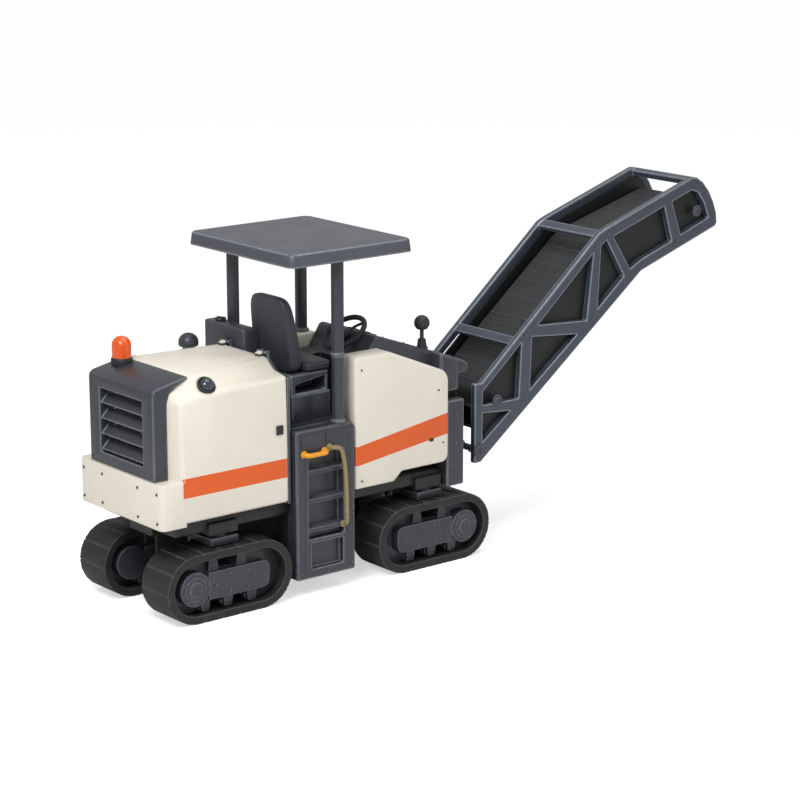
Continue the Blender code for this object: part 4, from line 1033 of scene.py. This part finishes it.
def canopy_bits():
    """Roof shell with a rolled lip, ribs under it, bolts at the feet of the posts."""
    rows = []
    shell = bmesh.new()
    (x_rear, x_front), half_width, (z_low, z_top) = ROOF
    middle = (x_rear + x_front) / 2
    for z, inset, radius in ((z_low, 0.030, 0.060), (z_low + 0.0002, 0.004, 0.075),
                             (z_low + 0.004, 0.000, 0.078), (z_top - 0.022, 0.010, 0.078),
                             (z_top - 0.008, 0.016, 0.076), (z_top - 0.002, 0.026, 0.070),
                             (z_top, 0.045, 0.060)):
        ring = []
        for cx, cy, start in ((1, 1, 0), (-1, 1, 90), (-1, -1, 180), (1, -1, 270)):
            half_x = (x_front - x_rear) / 2 - inset - radius
            half_y = half_width - inset - radius
            ring += arc((middle + cx * half_x, cy * half_y), radius, start, start + 90, 8)
        rows.append([shell.verts.new((x, y, z)) for x, y in ring])
    for a, b in zip(rows, rows[1:]):
        for k in range(len(a)):
            j = (k + 1) % len(a)
            shell.faces.new((a[k], a[j], b[j], b[k]))
    shell.faces.new(rows[0])
    shell.faces.new(rows[-1])
    bmesh.ops.recalc_face_normals(shell, faces=shell.faces)
    add("canopy_shell", shell, CANOPY, "canopy_roof", smooth=35, replaces=("canopy_roof",))
    parts = [box((1.250, 2.500), (y - 0.020, y + 0.020), (3.205, 3.2305), 0.004)
             for y in (-0.50, 0.0, 0.50)]
    parts.append(box((1.300, 1.340), (-0.700, 0.700), (3.210, 3.2305), 0.004))
    parts.append(box((2.410, 2.450), (-0.700, 0.700), (3.210, 3.2305), 0.004))
    add("roof_ribs", merged(parts), SLATE, "canopy_roof")
    for name, x, y, foot in (("rear_left", 1.505, 0.600, 1.6453),
                             ("front_left", 2.330, 0.600, 2.2483),
                             ("right", 1.815, -0.665, 1.6453)):
        bolts = [hexagon((x + 0.067 * cos(k * pi / 3 + 0.5), y + 0.067 * sin(k * pi / 3 + 0.5),
                          foot + 0.0218), (0, 0, 1), 0.0065, 0.007) for k in range(6)]
        add("post_bolts_" + name, merged(bolts), BOLT, "canopy_post_" + name)


def body_bits():
    """Tread plates, cowl fasteners, nose bolts and the slewing pin's cap."""
    add("tread_floor", box((1.925, 1.975), (-0.590, 0.590), (FLOOR_TOP, FLOOR_TOP + 0.0038), 0.001, 1), PLATE,
        "platform")
    plates = [box((1.270, 1.925), (-0.595, -0.425), (FLOOR_TOP, FLOOR_TOP + 0.0038), 0.001, 1)]
    add("tread_walkway", merged(plates), PLATE, "platform")
    marks = []
    for side in (-1, 1):
        for x, z in ((2.060, 1.020), (2.060, 2.120), (3.080, 1.240), (3.020, 1.780)):
            marks.append(hexagon((x, side * COWL_FACE, z), (0, side, 0), 0.009, 0.008))
    add("cowl_bolts", merged(marks), BOLT, "front_bonnet")
    oval_mark = []
    for side in (-1, 1):
        plate = moved(turned([(0, 0), (0.030, 0), (0.028, 0.004), (0, 0.004)], (0, 0), 32),
                      Matrix.Diagonal((1.0, 0.62, 1.0, 1.0)))
        oval_mark.append(laid(plate, (2.930, side * 0.7200, 1.290), (0, side, 0)))
    add("cowl_lift_eye", merged(oval_mark), WHEEL, "front_bonnet", smooth=30)
    bolts = []
    for side in (-1, 1):
        for z in (0.900, 1.200, 1.500):
            bolts.append(hexagon((3.3702, side * 0.645, z), (1, 0, 0), 0.014, 0.011))
            bolts.append(hexagon((3.260, side * HOOD_FACE, z), (0, side, 0), 0.012, 0.010))
        bolts.append(hexagon((3.3802, side * 0.540, 1.660), (1, 0, 0), 0.012, 0.010))
    add("nose_bolts", merged(bolts), BOLT, "nose_frame")
    pin = disc((SLEW_X, 0, 1.9475), (0, 0, 1), 0.050, 0.014, 0.004)
    add("slew_pin_cap", merged([pin, hexagon((SLEW_X, 0, 1.961), (0, 0, 1), 0.020, 0.012)]), BOLT,
        "nose_frame", smooth=30)
    sleeves = [laid(turned([(0, -0.0305), (0.0142, -0.0305), (0.0142, 0.0305), (0, 0.0305)],
                           (0, 0), 24), (HINGE[0], y, HINGE[1]), (0, 1, 0)) for y in HINGE_YS]
    leaves = [box((1.128, 1.196), (y - 0.0305, y + 0.0305), (2.318, 2.346), 0.003)
              for y in HINGE_YS]
    add("hinge_knuckles", merged(sleeves + leaves), BAR, "engine_hood", smooth=30)
    hinges = []
    for y in HINGE_YS:
        for dy in (-0.019, 0.019):
            hinges.append(hexagon((1.150, y + dy, 2.3455), (0, 0, 1), 0.008, 0.007))
    add("hinge_bolts", merged(hinges), BOLT, "engine_hood")
    cap = turned([(0, 2.4995), (0.055, 2.4995), (0.057, 2.512), (0.052, 2.524), (0, 2.526)],
                 (1.325, 0.560), 40)
    grips = [box((1.318, 1.332), (0.512, 0.608), (2.524, 2.534), 0.003)]
    add("filler_cap", merged([cap] + grips), WHEEL, "hydraulic_tank", smooth=30)
    sight = box((1.4198, 1.4270), (0.330, 0.352), (1.960, 2.260), 0.002)
    add("tank_sight_glass", sight, LAMP, "hydraulic_tank")


build_seat()
build_wheel()
build_lever()
build_deck_parts()
both("step_rail_bar", rail, TAN, "step_rail", smooth=50, replaces="step_rail")
both("grab_bar", grab, YELLOW, "grab_handle", smooth=50, replaces="grab_handle")
both("rung_treads", treads, BAR, "ladder")
# Dark seams plus the painted shade of the panel's slot and groove.
both("panel_seams_and_shaded_slot", ladder_marks, DARK, "ladder")
both("panel_bolts", ladder_bolts, BOLT, "ladder")
both("panel_lip", ladder_lip, LIP, "ladder", smooth=50)
bonnet_bits()
hood_bits()
build_picks()
conveyor_bits()
track_bits()
canopy_bits()
body_bits()


# ---------------------------------------------------------------- stage, light, camera
def area(name, spot, target, size, power, tint=(1, 1, 1)):
    light = bpy.data.lights.new(name, "AREA")
    light.size = size
    light.energy = power
    light.color = tint
    ob = bpy.data.objects.new(name, light)
    ob.location = spot
    ob.rotation_euler = (Vector(target) - Vector(spot)).to_track_quat("-Z", "Y").to_euler()
    bpy.context.scene.collection.objects.link(ob)


def build_stage():
    bm = box((-60, 60), (-60, 60), (-0.20, -0.0005))
    mesh = bpy.data.meshes.new("floor")
    bm.to_mesh(mesh)
    bm.free()
    floor = bpy.data.objects.new("floor", mesh)
    bpy.context.scene.collection.objects.link(floor)
    mat = bpy.data.materials.new("pale_floor")
    mat.use_nodes = True
    tree = mat.node_tree
    shader = tree.nodes["Principled BSDF"]
    shader.inputs["Base Color"].default_value = (0.90, 0.90, 0.90, 1)
    shader.inputs["Roughness"].default_value = 0.9
    shader.inputs["Specular IOR Level"].default_value = 0.0
    rays = tree.nodes.new("ShaderNodeLightPath")
    seen = tree.nodes.new("ShaderNodeMath")
    seen.operation = "MULTIPLY"
    seen.inputs[1].default_value = 0.55
    shader.inputs["Emission Color"].default_value = (1, 1, 1, 1)
    tree.links.new(rays.outputs["Is Camera Ray"], seen.inputs[0])
    tree.links.new(seen.outputs[0], shader.inputs["Emission Strength"])
    mesh.materials.append(mat)

    world = bpy.data.worlds.new("studio")
    bpy.context.scene.world = world
    world.use_nodes = True
    tree = world.node_tree
    back = tree.nodes["Background"]
    back.inputs["Color"].default_value = (1, 1, 1, 1)
    rays = tree.nodes.new("ShaderNodeLightPath")
    strength = tree.nodes.new("ShaderNodeMapRange")
    strength.inputs["To Min"].default_value = 0.48
    strength.inputs["To Max"].default_value = 1.0
    tree.links.new(rays.outputs["Is Camera Ray"], strength.inputs["Value"])
    tree.links.new(strength.outputs["Result"], back.inputs["Strength"])
    area("key", (-9.0, -5.0, 10.0), (0, 0, 1.2), 4.5, 780)
    area("top", (1.0, -1.0, 12.0), (0, 0, 1.0), 7.0, 430)
    area("fill", (6.0, -12.0, 5.0), (0.5, 0, 1.5), 7.0, 110)


def build_camera():
    data = bpy.data.cameras.new("camera")
    data.sensor_width = 36.0
    data.lens = 112.5
    data.clip_end = 200.0
    ob = bpy.data.objects.new("camera", data)
    bpy.context.scene.collection.objects.link(ob)
    ob.location = (at(-12.27), -19.00, 7.62)
    ahead = Vector((0.6106, 0.7541, -0.2419))
    ob.rotation_euler = ahead.to_track_quat("-Z", "Y").to_euler()
    bpy.context.scene.camera = ob


build_stage()
build_camera()
bpy.context.scene.view_settings.view_transform = "Standard"
